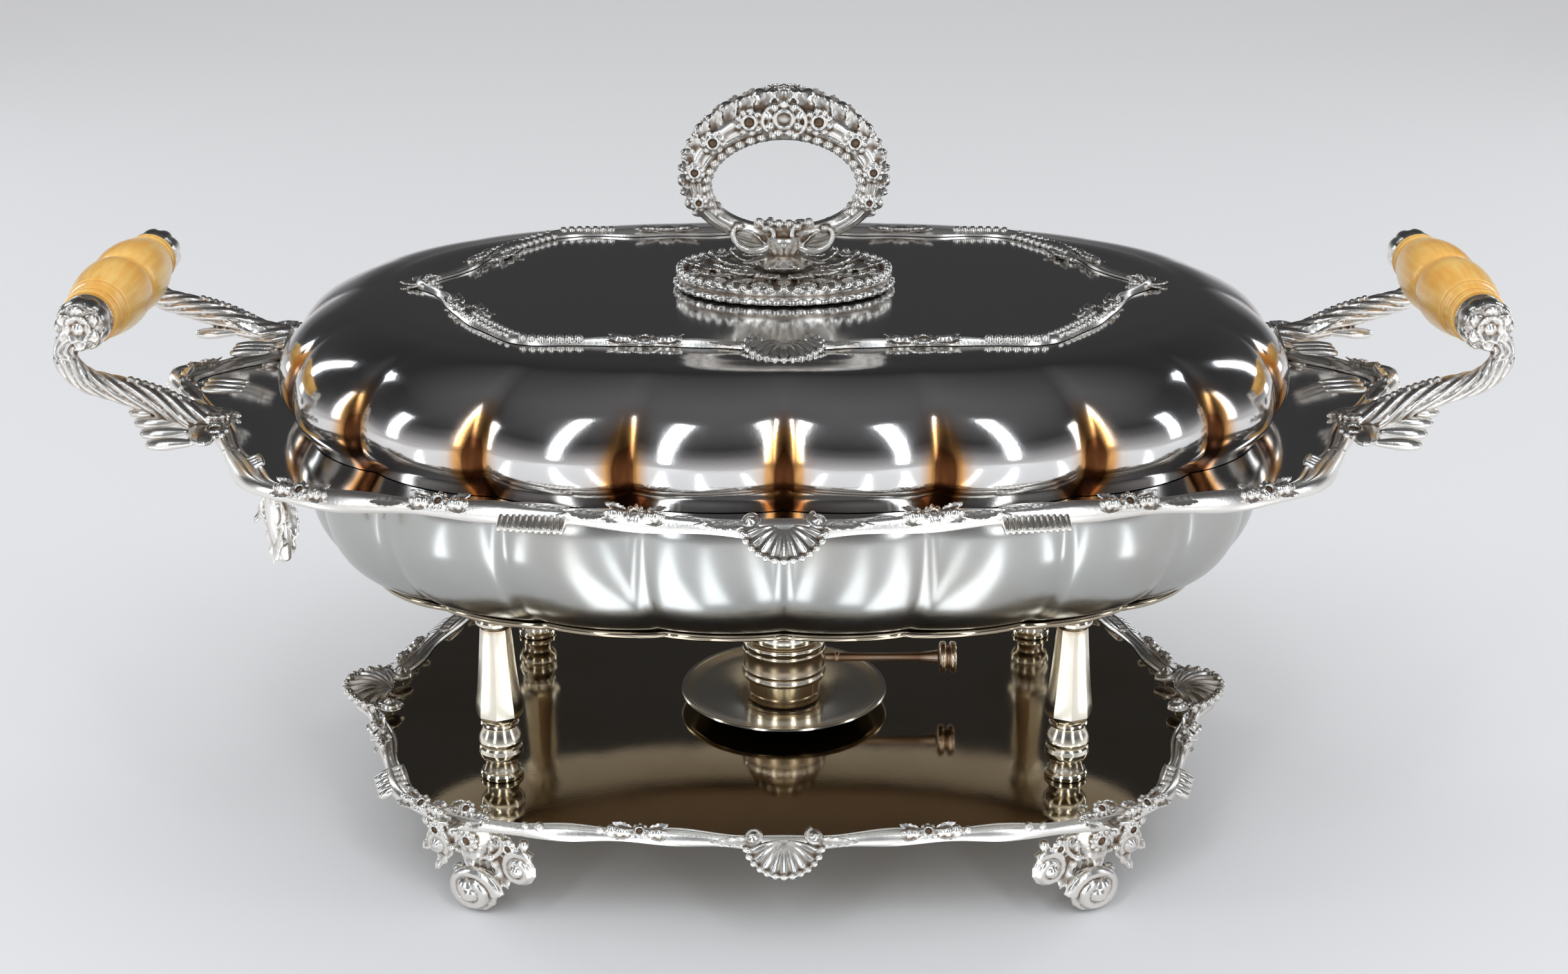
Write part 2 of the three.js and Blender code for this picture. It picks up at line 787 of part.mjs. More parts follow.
function finialRing() {
  const lift = 2;
  const path = evenShares(16).map((share) => {
    const angle = 2 * Math.PI * share - Math.PI / 2;
    const [c, s] = [Math.cos(angle), Math.sin(angle)];
    return [RING_HALF_WIDTH * c, 0, RING_CENTRE + RING_HALF_HEIGHT * s + lift * s ** 2];
  });
  const radii = (t) => {
    const crest = 0.5 - 0.5 * Math.cos(2 * Math.PI * t);
    const leaf = 1 + 0.1 * Math.sin(2 * Math.PI * WREATH_LEAVES * t);
    return [(5.4 + 4.2 * crest ** 1.6) * leaf, (4.6 + 9.6 * crest ** 1.8) * leaf];
  };
  const wreath = sweep(path, radii, WREATH_STEPS, WREATH_SIDES, new THREE.Vector3(0, 1, 0), true);
  const neck = turned(
    [[0, 0], [10, 0], [12.5, 2.5], [7, 7], [10, 12], [9, 15], [0, 15]],
    NECK_SIDES,
  );
  return joined(wreath, placed(neck, 0, 0, PLATE_TOP + SEAT_GAP));
}

function finialBolt() {
  const reach = 14;
  return new THREE.CylinderGeometry(FINIAL_BOLT, FINIAL_BOLT, reach, BORE_SIDES)
    .rotateX(Math.PI / 2)
    .translate(0, 0, PLATE_TOP - reach / 2);
}

function finialNut() {
  const [radius, thickness] = [6, 4];
  const height = LID_CREST - LID_WALL - SEAT_GAP - thickness / 2;
  return nut(radius, thickness, FINIAL_BOLT + 0.3).translate(0, 0, height);
}

// The burner: a drip saucer with a round font in it, its wick in the neck, and a regulator sleeve with a
// lever.
const SAUCER_RADIUS = 49;
const FONT_RADIUS = 17.4;
const FONT_TOP = 47;
const LEVER_HEIGHT = 22;
const LEVER_REACH = 82;

function burnerSaucer() {
  const z = TRAY_TOP + SEAT_GAP;
  return turned(
    [
      [0, 0],
      [22, 0],
      [26, 1.4],
      [42, 4.4],
      [SAUCER_RADIUS, 6.6],
      [SAUCER_RADIUS - 1.2, 7.4],
      [40, 6],
      [25, 3],
      [20, 1.6],
      [0, 1.6],
    ],
    20,
  ).translate(0, 0, z);
}

function burnerFont() {
  const bottom = 1.6 + 2 * SEAT_GAP;
  return turned(
    [
      [0, bottom],
      [FONT_RADIUS - 1.5, bottom],
      [FONT_RADIUS, bottom + 2],
      [FONT_RADIUS, 36],
      [FONT_RADIUS - 1, 39],
      [13, 41.5],
      [12, 42.5],
      [12, FONT_TOP],
      [10.2, FONT_TOP],
      [10.2, 34],
      [0, 34],
    ],
    16,
  ).translate(0, 0, TRAY_TOP);
}

function burnerWick() {
  const profile = [[0, 34.4], [9.6, 34.4], [9.6, FONT_TOP - 0.6], [6, FONT_TOP + 1], [0, FONT_TOP + 1.4]];
  return turned(profile, 14).translate(0, 0, TRAY_TOP);
}

function regulatorSleeve() {
  const [inner, outer] = [FONT_RADIUS + 0.35, FONT_RADIUS + 1.9];
  const [low, high] = [LEVER_HEIGHT - 8, LEVER_HEIGHT + 11];
  return turned(
    [
      [inner, low],
      [outer, low],
      [outer + 0.6, low + 2],
      [outer, low + 4],
      [outer, high - 4],
      [outer + 0.6, high - 2],
      [outer, high],
      [inner, high],
      [inner, low],
    ],
    20,
  ).translate(0, 0, TRAY_TOP);
}

function regulatorLever() {
  const start = FONT_RADIUS + 2.3;
  return turned(
    [
      [0, start],
      [2.1, start],
      [2.1, LEVER_REACH - 17],
      [3.4, LEVER_REACH - 9],
      [0, LEVER_REACH - 8.6],
    ],
    10,
  )
    .rotateY(Math.PI / 2)
    .translate(0, 0, TRAY_TOP + LEVER_HEIGHT);
}

function regulatorKnob() {
  const back = LEVER_REACH - 8.3;
  return turned(
    [
      [0, back],
      [6.6, back],
      [7.6, back + 1],
      [7.6, back + 3],
      [5.4, back + 3.8],
      [5.4, back + 4.6],
      [7.6, back + 5.4],
      [7.2, LEVER_REACH],
      [0, LEVER_REACH],
    ],
    12,
  )
    .rotateY(Math.PI / 2)
    .translate(0, 0, TRAY_TOP + LEVER_HEIGHT);
}

add("tray_plate", traySheet(), SILVER);
add("tray_border", trayBorder(), CAST_SILVER);
for (const [corner, sx, sy] of CORNERS) {
  add(`tray_foot_${corner}`, trayFoot(sx, sy), CAST_SILVER);
  const [x, y] = [sx * COLUMN_X, sy * COLUMN_Y];
  const column = turned(COLUMN_PROFILE, COLUMN_PANELS);
  add(`column_${corner}`, placed(column, x, y, TRAY_TOP), SILVER);
  const columnNut = nut(5.2, COLUMN_NUT, STUD + 0.3);
  add(`column_nut_${corner}`, placed(columnNut, x, y, COLUMN_NUT_HEIGHT), CAST_SILVER);
}
add("stand_frame", standFrame(), SILVER);
add("burner_saucer", burnerSaucer(), SILVER);
add("burner_font", burnerFont(), SILVER);
add("burner_wick", burnerWick(), WICK);
add("regulator_sleeve", regulatorSleeve(), SILVER);
add("regulator_lever", regulatorLever(), COPPER_TINT);
add("regulator_knob", regulatorKnob(), COPPER_TINT);
add("water_pan", waterPan(), SILVER);
add("food_dish", foodDish(), SILVER);
add("dish_border", dishBorder(), CAST_SILVER);
for (const [corner, sx, sy] of CORNERS.filter(([corner]) => corner !== "front_right")) {
  add(`dish_foot_${corner}`, dishFoot(sx, sy), CAST_SILVER);
}
const rimSpace = border(FLANGE_EDGE, RIM_CLEARANCE, flangeTop, FLANGE_STATIONS);
for (const [side, sx] of [["left", -1], ["right", 1]]) {
  for (const [end, sy] of [["front", -1], ["rear", 1]]) {
    const arm = cut(handleArm(sx, sy), rimSpace, foodDish(CUT_GAP));
    add(`${side}_handle_arm_${end}`, arm, CAST_SILVER);
  }
  add(`${side}_grip`, grip(sx), BONE);
  add(`${side}_grip_rod`, gripRod(sx), CAST_SILVER);
}
add("lid_shell", lidShell(), SILVER);
add("lid_border", lidBorder(), CAST_SILVER);
add("finial_plate", finialPlate(), CAST_SILVER);
add("finial_ring", finialRing(), CAST_SILVER);
add("finial_bolt", finialBolt(), CAST_SILVER);
add("finial_nut", finialNut(), CAST_SILVER);

export default dish;
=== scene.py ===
# %% [markdown]
# # A silver-plated chafing dish
#
# A chafing dish keeps food hot at the table. From the bottom up it is a footed tray, four columns round a
# spirit burner, a pan of hot water, a food dish that hangs in the pan, and a lobed lid with a wreath on top.
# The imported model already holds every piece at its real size. This lesson dresses it: the thin polished
# shells are modelled again with all their lobes, and the cast ornament is built up from small motifs.

# %% Load the fixed frame
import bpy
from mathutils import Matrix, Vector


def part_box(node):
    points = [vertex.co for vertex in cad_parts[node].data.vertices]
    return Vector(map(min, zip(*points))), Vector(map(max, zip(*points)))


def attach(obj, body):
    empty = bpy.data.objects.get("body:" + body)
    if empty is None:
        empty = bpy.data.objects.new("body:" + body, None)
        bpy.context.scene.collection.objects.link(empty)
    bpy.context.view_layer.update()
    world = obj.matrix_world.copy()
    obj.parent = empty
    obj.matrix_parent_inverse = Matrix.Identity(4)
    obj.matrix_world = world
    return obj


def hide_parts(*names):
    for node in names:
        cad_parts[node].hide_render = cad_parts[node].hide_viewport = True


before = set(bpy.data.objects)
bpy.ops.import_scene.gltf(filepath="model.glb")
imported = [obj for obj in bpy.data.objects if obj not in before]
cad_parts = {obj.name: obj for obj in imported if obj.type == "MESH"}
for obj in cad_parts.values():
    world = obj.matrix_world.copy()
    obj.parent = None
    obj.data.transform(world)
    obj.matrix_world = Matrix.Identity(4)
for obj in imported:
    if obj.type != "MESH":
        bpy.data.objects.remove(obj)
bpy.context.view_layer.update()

# %% The libraries that the lesson uses
import math

import bpy
import numpy as np
from mathutils import Euler, Matrix, Vector

# %% [markdown]
# ## Camera
#
# The camera stands about a metre in front of the dish and looks down on it at twenty degrees. The picture is
# 2435 pixels wide, and the lens is worked out from how fast the dish shrinks with depth in it.

# %% Camera
PICTURE_WIDTH = 2435
FOCAL_PIXELS = 3500
SENSOR = 36
CAMERA_PLACE = (0, -0.978, 0.516)
CAMERA_DOWN = 20.4

bpy.ops.object.camera_add(location=CAMERA_PLACE, rotation=(math.radians(90 - CAMERA_DOWN), 0, 0))
camera = bpy.context.object
camera.data.sensor_width = SENSOR
camera.data.lens = SENSOR * FOCAL_PIXELS / PICTURE_WIDTH
bpy.context.scene.camera = camera
bpy.context.scene.view_settings.view_transform = "Standard"
print("lens", round(camera.data.lens, 1), "mm")

# %% [markdown]
# ## Helpers for shader nodes
#
# Every finish, and the sky too, is a chain of nodes: small steps that take numbers or colours in and give new
# ones out. These helpers add a step, a pattern or a whole finish, so that each one below reads as a recipe.

# %% A node with its settings and its inputs
def fill(tree, socket, value):
    """Links a socket to another node's output, or sets it to a plain value."""
    if isinstance(value, bpy.types.NodeSocket):
        tree.links.new(value, socket)
    else:
        socket.default_value = value


def node(tree, kind, inputs=None, **settings):
    made = tree.nodes.new(kind)
    for key, value in settings.items():
        setattr(made, key, value)
    for key, value in (inputs or {}).items():
        fill(tree, made.inputs[key], value)
    return made

# %% Steps with numbers and colours
def math_node(tree, operation, first, second, clamp=False):
    return node(tree, "ShaderNodeMath", {0: first, 1: second}, operation=operation, use_clamp=clamp).outputs[0]


def mixed(tree, share, first, second):
    """A mix of two colours, from the first at a share of 0 to the second at 1."""
    return node(tree, "ShaderNodeMix", {0: share, 6: first, 7: second}, data_type="RGBA").outputs[2]


def ramp(tree, share, stops):
    """A colour that runs through stops, each a place from 0 to 1 and a colour."""
    made = node(tree, "ShaderNodeValToRGB", {"Fac": share})
    elements = made.color_ramp.elements
    while len(elements) < len(stops):
        elements.new(0.5)
    for element, (place, color) in zip(elements, stops):
        element.position = place
        element.color = (*color, 1)
    return made.outputs["Color"]

# %% Patterns on a piece
def places(tree):
    return node(tree, "ShaderNodeTexCoord").outputs["Object"]


def noise(tree, place, scale, detail):
    return node(tree, "ShaderNodeTexNoise", {"Vector": place, "Scale": scale, "Detail": detail}).outputs["Fac"]


def hollow_values(tree):
    return node(tree, "ShaderNodeAttribute", attribute_name="hollow").outputs["Fac"]


def bumped(tree, height, strength, distance):
    return node(tree, "ShaderNodeBump", {"Height": height, "Strength": strength, "Distance": distance}).outputs[0]

# %% A new finish, its node tree and its shader
def blank(name, values):
    finish = bpy.data.materials.new(name)
    finish.use_nodes = True
    shader = finish.node_tree.nodes["Principled BSDF"]
    for key, value in values.items():
        shader.inputs[key].default_value = value
    return finish, finish.node_tree, shader

# %% [markdown]
# ## Floor and light
#
# Polished silver has no colour of its own to show: it shows the room. So the room is what gives the metal its
# shape. The sky has a pale band at the horizon and is dark overhead, which puts a dark body into the dome.
# Tall soft boxes at the front, the sides and the back put bright streaks into every lobe of the lid, and low
# ones just above the floor do the same for the pan.

# %% Floor
FLOOR_RADIUS = 12
FLOOR_GAP = 0.0003
PALE = (0.80, 0.80, 0.81, 1)

bpy.ops.mesh.primitive_circle_add(vertices=96, radius=FLOOR_RADIUS, fill_type="NGON", location=(0, 0, -FLOOR_GAP))
floor = bpy.context.object
floor.name = "floor"
floor.data.materials.append(blank("pale_floor", {"Base Color": PALE, "Roughness": 0.9})[0])
print("floor radius", FLOOR_RADIUS, "m")

# %% Sky: grey scales from straight down to straight up, one for the back and one for the front
BACK_SKY = ((0.0, 0.4), (0.5, 0.4), (0.53, 0.2), (0.6, 0.05), (0.85, 0.03), (1.0, 0.12))
FRONT_SKY = ((0.0, 0.4), (0.5, 0.45), (0.56, 0.3), (0.64, 0.12), (0.74, 0.04), (1.0, 0.12))
SIDE_BLEND = 0.3
SKY_BLUE = 1.04

world = bpy.data.worlds.new("studio")
bpy.context.scene.world = world
world.use_nodes = True
sky = world.node_tree
direction = node(sky, "ShaderNodeSeparateXYZ", {0: node(sky, "ShaderNodeTexCoord").outputs["Generated"]}).outputs
height = node(sky, "ShaderNodeMapRange", {"Value": direction["Z"], "From Min": -1}).outputs[0]
blend = {"Value": direction["Y"], "From Min": SIDE_BLEND, "From Max": -SIDE_BLEND}
front = node(sky, "ShaderNodeMapRange", blend).outputs[0]
tones = [
    ramp(sky, height, [(place, (grey, grey, grey * SKY_BLUE)) for place, grey in scale])
    for scale in (BACK_SKY, FRONT_SKY)
]
fill(sky, sky.nodes["Background"].inputs["Color"], mixed(sky, front, *tones))
print("sky greys", [grey for _, grey in BACK_SKY], [grey for _, grey in FRONT_SKY])

# %% Soft boxes: place, width, height and brightness, each turned to the dish
AIM = Vector((0, 0, 0.18))
SOFT_BOXES = {
    "strip": ((0.80, -1.55, 1.25), 0.22, 2.3, 6.5),
    "side": ((1.9, -0.5, 0.75), 0.3, 1.2, 3.5),
    "back": ((1.7, 1.2, 0.9), 0.25, 1.6, 4.0),
    "low": ((0.33, -0.62, 0.01), 0.05, 1.1, 2.0),
    "outer_low": ((0.72, -0.52, 0.01), 0.05, 1.0, 2.2),
    "inner_low": ((0.12, -0.66, 0.01), 0.03, 1.0, 1.8),
}
LOW_TURNS = {"inner_low": 10, "low": 28, "outer_low": 52}
LAMP_COLOR = (0.88, 0.94, 1.0)


def soft_box(name, place, turn, wide, tall, brightness):
    bpy.ops.object.light_add(type="AREA", location=place, rotation=turn)
    lamp = bpy.context.object
    lamp.name = name
    lamp.data.shape = "RECTANGLE"
    lamp.data.size = wide
    lamp.data.size_y = tall
    lamp.data.energy = brightness * math.pi * wide * tall
    lamp.data.color = LAMP_COLOR
    lamp.visible_camera = False
    print(name, round(lamp.data.energy, 2), "W")


for name, ((x, y, z), *size) in SOFT_BOXES.items():
    for side, sx in (("left", -1), ("right", 1)):
        place = Vector((sx * x, y, z))
        turn = (place - AIM).to_track_quat("Z", "Y").to_euler()
        if name in LOW_TURNS:
            turn = Euler((math.pi, 0, sx * math.radians(LOW_TURNS[name])))
        soft_box(f"{side}_{name}", place, turn, *size)

# %% A broad light from above for the floor and the grips, which the silver doesn't reflect
OVERHEAD_STRENGTH = 2.0
OVERHEAD_ANGLE = 110

bpy.ops.object.light_add(type="SUN", location=(0, 0, 3))
overhead = bpy.context.object
overhead.name = "overhead"
overhead.data.energy = OVERHEAD_STRENGTH
overhead.data.angle = math.radians(OVERHEAD_ANGLE)
overhead.visible_glossy = False
print("overhead", overhead.data.energy)

# %% [markdown]
# ## Finishes
#
# Old plate is bright where it is rubbed and brown where the cloth never reaches. A number called hollow is
# stored on every corner of the meshes below, and one shader group turns it into tarnish: it warms the colour
# and takes off the shine there. On the lid the number marks the creases between the lobes instead, and there
# the group paints an amber reflection and, past that, a deep brown shade; its spread says how fast the colour
# goes from clean silver to the amber and on to the painted shade. A second group gives sheet metal its faint
# waves and scratches.

# %% A helper that starts a node group with named inputs and outputs
def group(name, inputs, outputs):
    tree = bpy.data.node_groups.new(name, "ShaderNodeTree")
    for key, kind in inputs.items():
        tree.interface.new_socket(key, in_out="INPUT", socket_type=kind)
    for key, kind in outputs.items():
        tree.interface.new_socket(key, in_out="OUTPUT", socket_type=kind)
    return tree, tree.nodes.new("NodeGroupInput").outputs, tree.nodes.new("NodeGroupOutput").inputs


COLOR, NUMBER = "NodeSocketColor", "NodeSocketFloat"

# %% Group: tarnish gathers in the hollows and in faint patches, and the lid's creases get a painted reflection and shade
PATCH_SCALE, PATCH_START, PATCH_FULL = 16, 0.46, 0.72
SMUDGE_SCALE = 210
TARNISH_ROUGHNESS = 0.22


def tarnish_and_painted_light_group():
    colors = dict.fromkeys(("Clean", "TarnishAndPaintedReflection", "PaintedShade"), COLOR)
    amounts = dict.fromkeys(("Hollows", "Patches", "Shine", "Smudge", "Spread"), NUMBER)
    tree, given, result = group("tarnish_and_painted_light", {**colors, **amounts}, {"Color": COLOR, "Roughness": NUMBER})
    place = places(tree)
    clouds = {
        "Value": noise(tree, place, PATCH_SCALE, 5), "From Min": PATCH_START, "From Max": PATCH_FULL,
        "To Max": given["Patches"],
    }
    patches = node(tree, "ShaderNodeMapRange", clouds).outputs[0]
    hollows = math_node(tree, "MULTIPLY", hollow_values(tree), given["Hollows"])
    mask = math_node(tree, "ADD", hollows, patches, clamp=True)
    dull = math_node(tree, "MULTIPLY", mask, TARNISH_ROUGHNESS)
    smudge = math_node(tree, "MULTIPLY", noise(tree, place, SMUDGE_SCALE, 3), given["Smudge"])
    rough = math_node(tree, "ADD", math_node(tree, "ADD", dull, smudge), given["Shine"])
    spread = math_node(tree, "MULTIPLY", mask, given["Spread"])
    brown = mixed(tree, math_node(tree, "MINIMUM", spread, 1), given["Clean"], given["TarnishAndPaintedReflection"])
    # Past a spread of 1 the colour turns to the deep one: painted shade, which only the lid's creases reach
    painted_shade_share = math_node(tree, "SUBTRACT", spread, 1, clamp=True)
    fill(tree, result["Color"], mixed(tree, painted_shade_share, brown, given["PaintedShade"]))
    fill(tree, result["Roughness"], rough)
    return tree


tarnish_and_painted_light = tarnish_and_painted_light_group()
print("group", tarnish_and_painted_light.name, "with", len(tarnish_and_painted_light.nodes), "nodes")

# %% Group: the faint waves of hand-finished sheet, and hairline scratches
WAVE_SCALE, GRAIN_SCALE = 11, 900


def relief_group():
    tree, given, result = group("relief", {"Waves": NUMBER, "Grain": NUMBER}, {"Height": NUMBER})
    place = places(tree)
    swell = math_node(tree, "MULTIPLY", noise(tree, place, WAVE_SCALE, 1), given["Waves"])
    pits = math_node(tree, "MULTIPLY", noise(tree, place, GRAIN_SCALE, 4), given["Grain"])
    fill(tree, result["Height"], math_node(tree, "ADD", swell, pits))
    return tree


relief = relief_group()
print("group", relief.name, "with", len(relief.nodes), "nodes")

# %% A metal: tarnish, with painted reflection and shade in the lid's creases, and relief around one shader
# The first colour is tarnish on polished silver and, in the lid's creases, a painted amber reflection; the third is
# a painted dark shade that only those creases reach
AMBER_TARNISH_AND_PAINTED_REFLECTION = (0.72, 0.37, 0.13)
BROWN = (0.26, 0.17, 0.09)
PAINTED_CREASE_SHADE = (0.10, 0.035, 0.012)
RELIEF_HEIGHT = 0.001


def metal(name, clean, brown, hollows, patches, shine, smudge=0.05, spread=1.0, waves=0.25, grain=0.01):
    finish, tree, shader = blank(name, {"Metallic": 1})
    amounts = {"Hollows": hollows, "Patches": patches, "Shine": shine, "Smudge": smudge, "Spread": spread}
    colors = {"Clean": (*clean, 1), "TarnishAndPaintedReflection": (*brown, 1), "PaintedShade": (*PAINTED_CREASE_SHADE, 1)}
    age = node(tree, "ShaderNodeGroup", {**colors, **amounts}, node_tree=tarnish_and_painted_light).outputs
    skin = node(tree, "ShaderNodeGroup", {"Waves": waves, "Grain": grain}, node_tree=relief).outputs
    fill(tree, shader.inputs["Base Color"], age["Color"])
    fill(tree, shader.inputs["Roughness"], age["Roughness"])
    fill(tree, shader.inputs["Normal"], bumped(tree, skin["Height"], 1, RELIEF_HEIGHT))
    return finish


# A spread of 3.4 carries the lid's creases past the painted amber reflection into the painted dark shade
silver_polished = metal(
    "silver_polished", clean=(0.78, 0.77, 0.76), brown=AMBER_TARNISH_AND_PAINTED_REFLECTION, hollows=1, patches=0.02, shine=0.08, spread=3.4,
)
# The pan's silver is a much darker copy of the lid's: painted shade, for a pan that sits under the dish's flange
silver_pan_painted_shade = metal("silver_pan_painted_shade", clean=(0.50, 0.50, 0.48), brown=BROWN, hollows=1, patches=0.25, shine=0.17)
silver_warm = metal(
    "silver_warm", clean=(0.93, 0.87, 0.74), brown=(0.48, 0.32, 0.16), hollows=0.6, patches=0.10, shine=0.13,
)
# The tray's plate and the stand's frame share a dark warm silver: its darkness is a painted reflection of the pan's
# dark underside, and its warmth is tarnish
silver_tray_painted_reflection = metal(
    "silver_tray_painted_reflection", clean=(0.44, 0.38, 0.29), brown=BROWN, hollows=1, patches=0.25, shine=0.04, smudge=0.03,
)
silver_cast = metal(
    "silver_cast", clean=(0.93, 0.90, 0.85), brown=(0.22, 0.15, 0.10), hollows=1, patches=0.3, shine=0.24,
    waves=0, grain=0.05,
)
brass_worn = metal(
    "brass_worn", clean=(0.86, 0.70, 0.56), brown=(0.40, 0.22, 0.12), hollows=0.8, patches=0.3, shine=0.24,
)
print("metals", [finish.name for finish in (silver_polished, silver_pan_painted_shade, silver_warm, silver_tray_painted_reflection, silver_cast)])

# %% Bone grips: amber, with faint streaks along the grip and darker turned grooves
BONE_STOPS = ((0.36, (0.90, 0.45, 0.09)), (0.62, (1.0, 0.63, 0.19)))
BONE_GROOVE = (0.34, 0.13, 0.025, 1)
BONE_SHADER = {
    "Roughness": 0.3, "Coat Weight": 0.5, "Coat Roughness": 0.15, "Subsurface Weight": 0.12,
    "Subsurface Radius": (0.006, 0.003, 0.001),
}


def bone():
    finish, tree, shader = blank("grip_bone", BONE_SHADER)
    place = places(tree)
    lengthwise = node(tree, "ShaderNodeMapping", {"Vector": place, "Scale": (1.0, 0.06, 1.0)}).outputs[0]
    streaks = noise(tree, lengthwise, 420, 4)
    both = math_node(tree, "ADD", streaks, noise(tree, place, 45, 2))
    tint = ramp(tree, math_node(tree, "MULTIPLY", both, 0.5), BONE_STOPS)
    fill(tree, shader.inputs["Base Color"], mixed(tree, hollow_values(tree), tint, BONE_GROOVE))
    fill(tree, shader.inputs["Normal"], bumped(tree, streaks, 0.1, 0.0003))
    return finish


grip_bone = bone()
print("bone", grip_bone.name)

# %% Wick: charred cotton
COTTON_STOPS = ((0, (0.05, 0.045, 0.04)), (1, (0.5, 0.47, 0.4)))


def cotton():
    finish, tree, shader = blank("wick_cotton", {"Roughness": 0.95})
    strands = noise(tree, places(tree), 900, 5)
    fill(tree, shader.inputs["Base Color"], ramp(tree, strands, COTTON_STOPS))
    fill(tree, shader.inputs["Normal"], bumped(tree, strands, 0.8, 0.0008))
    return finish


wick_cotton = cotton()
print("cotton", wick_cotton.name)

# %% [markdown]
# ## Working in millimetres
#
# The dish is drawn in millimetres, as a silversmith would, and each finished mesh is brought to metres once.
# Only small helpers are needed: read and write a mesh's corners, apply its modifiers, join parts, and settle
# the finished piece on the body that carries it.

# %% Helpers for meshes
MM = 0.001


def deselect():
    if bpy.context.mode != "OBJECT":
        bpy.ops.object.mode_set(mode="OBJECT")
    bpy.ops.object.select_all(action="DESELECT")


def corners(mesh):
    flat = np.empty(len(mesh.vertices) * 3)
    mesh.vertices.foreach_get("co", flat)
    return flat.reshape(-1, 3)


def set_corners(mesh, places):
    mesh.vertices.foreach_set("co", np.asarray(places, float).ravel())
    mesh.update()


def apply_modifiers(piece):
    deselect()
    bpy.context.view_layer.objects.active = piece
    piece.select_set(True)
    for modifier in list(piece.modifiers):
        bpy.ops.object.modifier_apply(modifier=modifier.name)


def taken(piece):
    """The mesh of a working object, which is then removed."""
    mesh = piece.data
    bpy.data.objects.remove(piece)
    return mesh


def copy(shape, at=(0, 0, 0), turn=(0, 0, 0), size=1, seat=Matrix()):
    """A mesh's own copy, sized, turned and moved on the seat's axes."""
    sizes = Vector(size) if hasattr(size, "__len__") else Vector((size, size, size))
    angles = Euler([math.radians(angle) for angle in turn])
    place = seat @ Matrix.LocRotScale(Vector(at), angles, sizes)
    mesh = shape.copy()
    mesh.transform(place)
    if place.determinant() < 0:
        mesh.flip_normals()
    return mesh


def joined(name, meshes):
    deselect()
    for mesh in meshes:
        part = bpy.data.objects.new(name, mesh)
        bpy.context.scene.collection.objects.link(part)
        part.select_set(True)
    bpy.context.view_layer.objects.active = part
    if len(meshes) > 1:
        bpy.ops.object.join()
    piece = bpy.context.view_layer.objects.active
    piece.name = name
    return piece


def merged(meshes):
    """Meshes joined into one."""
    return taken(joined("motif", meshes))

# %% Hollows: how far each corner lies below its surroundings
def write_hollows(mesh, values):
    attribute = mesh.attributes.get("hollow") or mesh.attributes.new("hollow", "FLOAT", "POINT")
    attribute.data.foreach_set("value", np.clip(values, 0, 1).astype(np.float32))


def mark_hollows(mesh, passes=10, full=0.35):
    """Compares each corner with the mean of its neighbours, which is full where it lies that far below."""
    count = len(mesh.vertices)
    place = corners(mesh)
    pairs = np.empty(len(mesh.edges) * 2, int)
    mesh.edges.foreach_get("vertices", pairs)
    a, b = pairs[0::2], pairs[1::2]
    beside = np.maximum(np.bincount(a, minlength=count) + np.bincount(b, minlength=count), 1)
    mean = place
    for _ in range(passes):
        mean = np.column_stack([
            (np.bincount(a, mean[b, k], count) + np.bincount(b, mean[a, k], count)) / beside for k in range(3)
        ])
    normal = np.empty(count * 3)
    mesh.vertex_normals.foreach_get("vector", normal)
    write_hollows(mesh, ((mean - place) * normal.reshape(-1, 3)).sum(1) / full)

# %% Settling a finished piece on the body that carries it, in place of its node
def settle(name, meshes, body, finish, node_name, crease=40):
    piece = joined(name, meshes)
    piece.data.transform(Matrix.Scale(MM, 4))
    piece.data.materials.clear()
    piece.data.materials.append(finish)
    bpy.ops.object.shade_smooth_by_angle(angle=math.radians(crease))
    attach(piece, body)
    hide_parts(node_name)
    faces = sum(len(face.vertices) - 2 for face in piece.data.polygons)
    print(piece.name, "rides on", body, "with", faces, "triangles")

# %% [markdown]
# ## Ways to make a form
#
# Most of the dish is made in three ways. A lathe turns a profile round an axis with the spin tool. A loft adds
# a ring of edges and extrudes it again and again, each ring set to its own outline, which is how the lobed
# shells are made. And a sheet starts as a flat grid that is bent to a leaf or a petal and given a thickness.
# Rods and beads join them in the castings, where all parts are melted into one skin.

# %% Lathe: profile points are radius and height, and the axis is upright
def lathe(profile, segments):
    deselect()
    bpy.ops.mesh.primitive_plane_add(size=1)
    piece = bpy.context.object
    bpy.ops.object.mode_set(mode="EDIT")
    bpy.ops.mesh.select_all(action="SELECT")
    bpy.ops.mesh.merge(type="CENTER")
    radius, height = profile[0]
    bpy.ops.transform.translate(value=(radius, 0, height))
    for next_radius, next_height in profile[1:]:
        step = (next_radius - radius, 0, next_height - height)
        bpy.ops.mesh.extrude_vertices_move(TRANSFORM_OT_translate={"value": step})
        radius, height = next_radius, next_height
    bpy.ops.mesh.select_all(action="SELECT")
    bpy.ops.mesh.spin(steps=segments, angle=math.tau, center=(0, 0, 0), axis=(0, 0, 1))
    bpy.ops.mesh.select_all(action="SELECT")
    bpy.ops.mesh.remove_doubles(threshold=0.001)
    bpy.ops.mesh.normals_make_consistent(inside=False)
    bpy.ops.object.mode_set(mode="OBJECT")
    return taken(piece)

# %% Selecting corners, and the edges between them, in edit mode
def select(piece, indices):
    if bpy.context.mode != "EDIT_MESH":
        bpy.ops.object.mode_set(mode="EDIT")
    bpy.ops.mesh.select_mode(type="VERT")
    bpy.ops.mesh.select_all(action="DESELECT")
    bpy.ops.object.mode_set(mode="OBJECT")
    chosen = np.zeros(len(piece.data.vertices), bool)
    chosen[list(indices)] = True
    piece.data.vertices.foreach_set("select", chosen)
    bpy.ops.object.mode_set(mode="EDIT")

